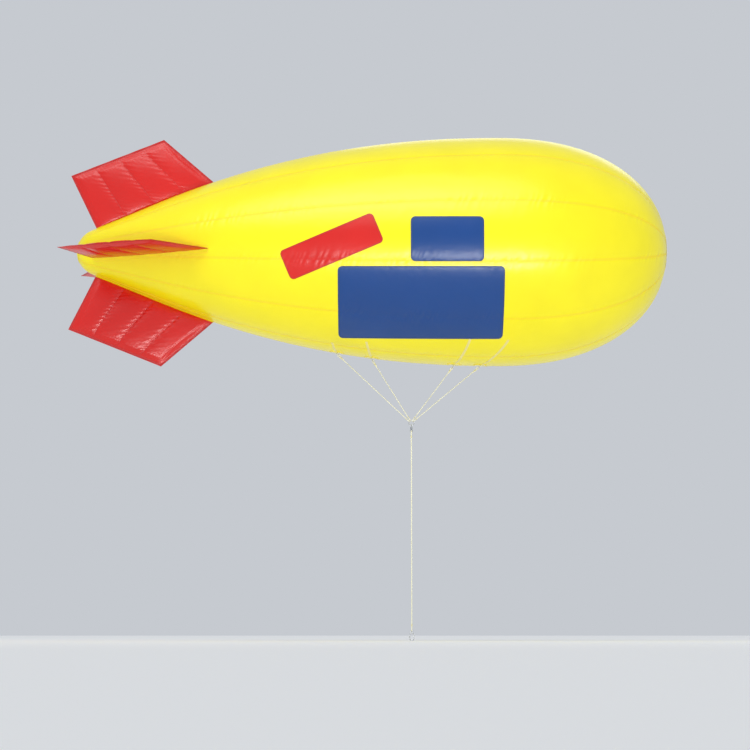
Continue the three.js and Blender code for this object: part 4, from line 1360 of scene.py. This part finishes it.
white_plastic = moulded_pvc("moulded_pvc_white", colour=0xF0F0EA)
flange_radius = np.linspace(VALVE_FLANGE - 0.0012, VALVE_TUBE + 0.0022, 44)
flange_ribs = FLANGE_RIB_HEIGHT * np.cos(2 * np.pi * (flange_radius - VALVE_TUBE) / FLANGE_RIB_PITCH)
# Radius and height of each edge: the tube under the film, the flange from below to its ribbed top,
# and the collar on it, back to the bore.
base_rows = np.concatenate([
    [(VALVE_BORE, 0.0015 - VALVE_DEPTH), (VALVE_BORE + 0.0015, -VALVE_DEPTH),
     (VALVE_TUBE - 0.0015, -VALVE_DEPTH), (VALVE_TUBE, 0.0015 - VALVE_DEPTH),
     (VALVE_TUBE, -0.0015), (VALVE_FLANGE, -0.0015), (VALVE_FLANGE, FLANGE_TOP - 0.0014),
     (VALVE_FLANGE - 0.0004, FLANGE_TOP - 0.0007)],
    np.stack([flange_radius, FLANGE_TOP - 0.0004 + flange_ribs], -1),
    [(VALVE_TUBE + 0.0006, FLANGE_TOP + 0.0006), (VALVE_TUBE, FLANGE_TOP + 0.0022), (VALVE_TUBE, 0.0095),
     (VALVE_TUBE + 0.0008, 0.0103), (VALVE_TUBE + 0.0008, 0.0115), (VALVE_TUBE, 0.0123),
     (VALVE_TUBE, VALVE_RISE - 0.0012), (VALVE_TUBE - 0.0012, VALVE_RISE),
     (VALVE_BORE + 0.0018, VALVE_RISE), (VALVE_BORE, VALVE_RISE - 0.0018)],
])
add_piece(
    "valve_base_moulding", lathe_rings(base_rows, VALVE_SIDES, valve_origin, *valve_axes),
    white_plastic, "blimp", "valve_base", closed=True,
)

for side_name, side in (("aft", 1), ("fore", -1)):
    ear = plate_rings(
        stadium(KNUCKLE_RADIUS, FLANGE_TOP, HINGE_RISE), EAR_LENGTH, EAR_EDGE,
        valve_place(side * EAR_OFFSET, HINGE_OFFSET, 0.0), valve_up, valve_out,
    )
    add_piece(f"valve_ear_{side_name}", ear, white_plastic, "blimp", "valve_base")
hinge = valve_place(0.0, HINGE_OFFSET, HINGE_RISE)
hinge_axes = (valve_up, valve_out, valve_aft)
pin_end = np.array([(0.6, 1.04), (1.0, 1.03), (1.0, 1.0)]) * (PIN_RADIUS, EAR_OFFSET + EAR_LENGTH / 2)
add_piece(
    "valve_hinge_pin", pin_rings(pin_end, PIN_SIDES, hinge, *hinge_axes),
    turned_steel, "blimp", "valve_base",
)

# The lid's rows run from the middle of its face over the grooved rim to the middle of its plug. A
# row is its radius, its height, and its share of the grooves' depth.
LID_ROWS = np.array([
    (0.0020, LID_TOP - 0.0012, 0.0), (0.0375, LID_TOP - 0.0012, 0.0), (0.0388, LID_TOP - 0.0010, 0.0),
    (0.0400, LID_TOP - 0.0003, 0.0), (0.0412, LID_TOP, 0.0), (0.0450, LID_TOP, 0.0),
    (LID_RADIUS - 0.0018, LID_TOP - 0.0002, 0.3), (LID_RADIUS - 0.0005, LID_TOP - 0.0008, 1.0),
    (LID_RADIUS, LID_TOP - 0.0016, 1.0), (LID_RADIUS, LID_BASE + 0.0012, 1.0),
    (LID_RADIUS - 0.0006, LID_BASE + 0.0004, 1.0), (LID_RADIUS - 0.0016, LID_BASE, 0.3),
    (PLUG_RADIUS + 0.0012, LID_BASE, 0.0), (PLUG_RADIUS, LID_BASE - 0.0010, 0.0),
    (PLUG_RADIUS, LID_BASE - 0.0040, 0.0), (PLUG_RADIUS - 0.0010, LID_BASE - 0.0050, 0.0),
    (PLUG_RADIUS - 0.0030, LID_BASE - 0.0050, 0.0), (PLUG_RADIUS - 0.0034, LID_BASE - 0.0010, 0.0),
    (0.0020, LID_BASE - 0.0010, 0.0),
])
lid_turn = np.linspace(0, 2 * np.pi, LID_GROOVES * 6, endpoint=False)
groove_cut = LID_GROOVE_DEPTH * (0.5 - 0.5 * np.cos(LID_GROOVES * lid_turn)) ** 2
lid_radius = LID_ROWS[:, :1] - LID_ROWS[:, 2:] * groove_cut
add_piece(
    "valve_lid_moulding",
    valve_place(lid_radius * np.cos(lid_turn), lid_radius * np.sin(lid_turn), LID_ROWS[:, 1:2]),
    white_plastic, "valve_cap", "valve_lid",
)

strap_middle = (LID_BASE + LID_TOP) / 2 - 0.0003
strap_path = smooth_path([
    (LID_RADIUS - 0.006, strap_middle), (LID_RADIUS - 0.001, strap_middle),
    (HINGE_OFFSET - 0.005, strap_middle), (HINGE_OFFSET - 0.001, strap_middle - 0.0016),
    (HINGE_OFFSET, HINGE_RISE + 0.0012),
], STRAP_STEP)
strap_profile = rounded(STRAP_THICKNESS, STRAP_WIDTH, STRAP_EDGE, 4)
add_piece(
    "valve_hinge_strap", carried(valve_place(0.0, *strap_path.T), valve_aft, strap_profile),
    white_plastic, "valve_cap", "valve_lid",
)
knuckle_end = np.array([(0.85, 1.0), (0.96, 0.97), (1.0, 0.92)]) * (KNUCKLE_RADIUS, STRAP_WIDTH / 2)
add_piece(
    "valve_knuckle", pin_rings(knuckle_end, KNUCKLE_SIDES, hinge, *hinge_axes),
    white_plastic, "valve_cap", "valve_lid",
)
tab_outline = stadium(TAB_HALF_WIDTH, -0.0015, 0.004) - (0.0, LID_RADIUS)
pull_tab = plate_rings(
    tab_outline, TAB_THICKNESS, TAB_EDGE, valve_place(0.0, 0.0, LID_TOP - 0.0020), valve_aft, valve_up,
)
add_piece("valve_pull_tab", pull_tab, white_plastic, "valve_cap", "valve_lid")
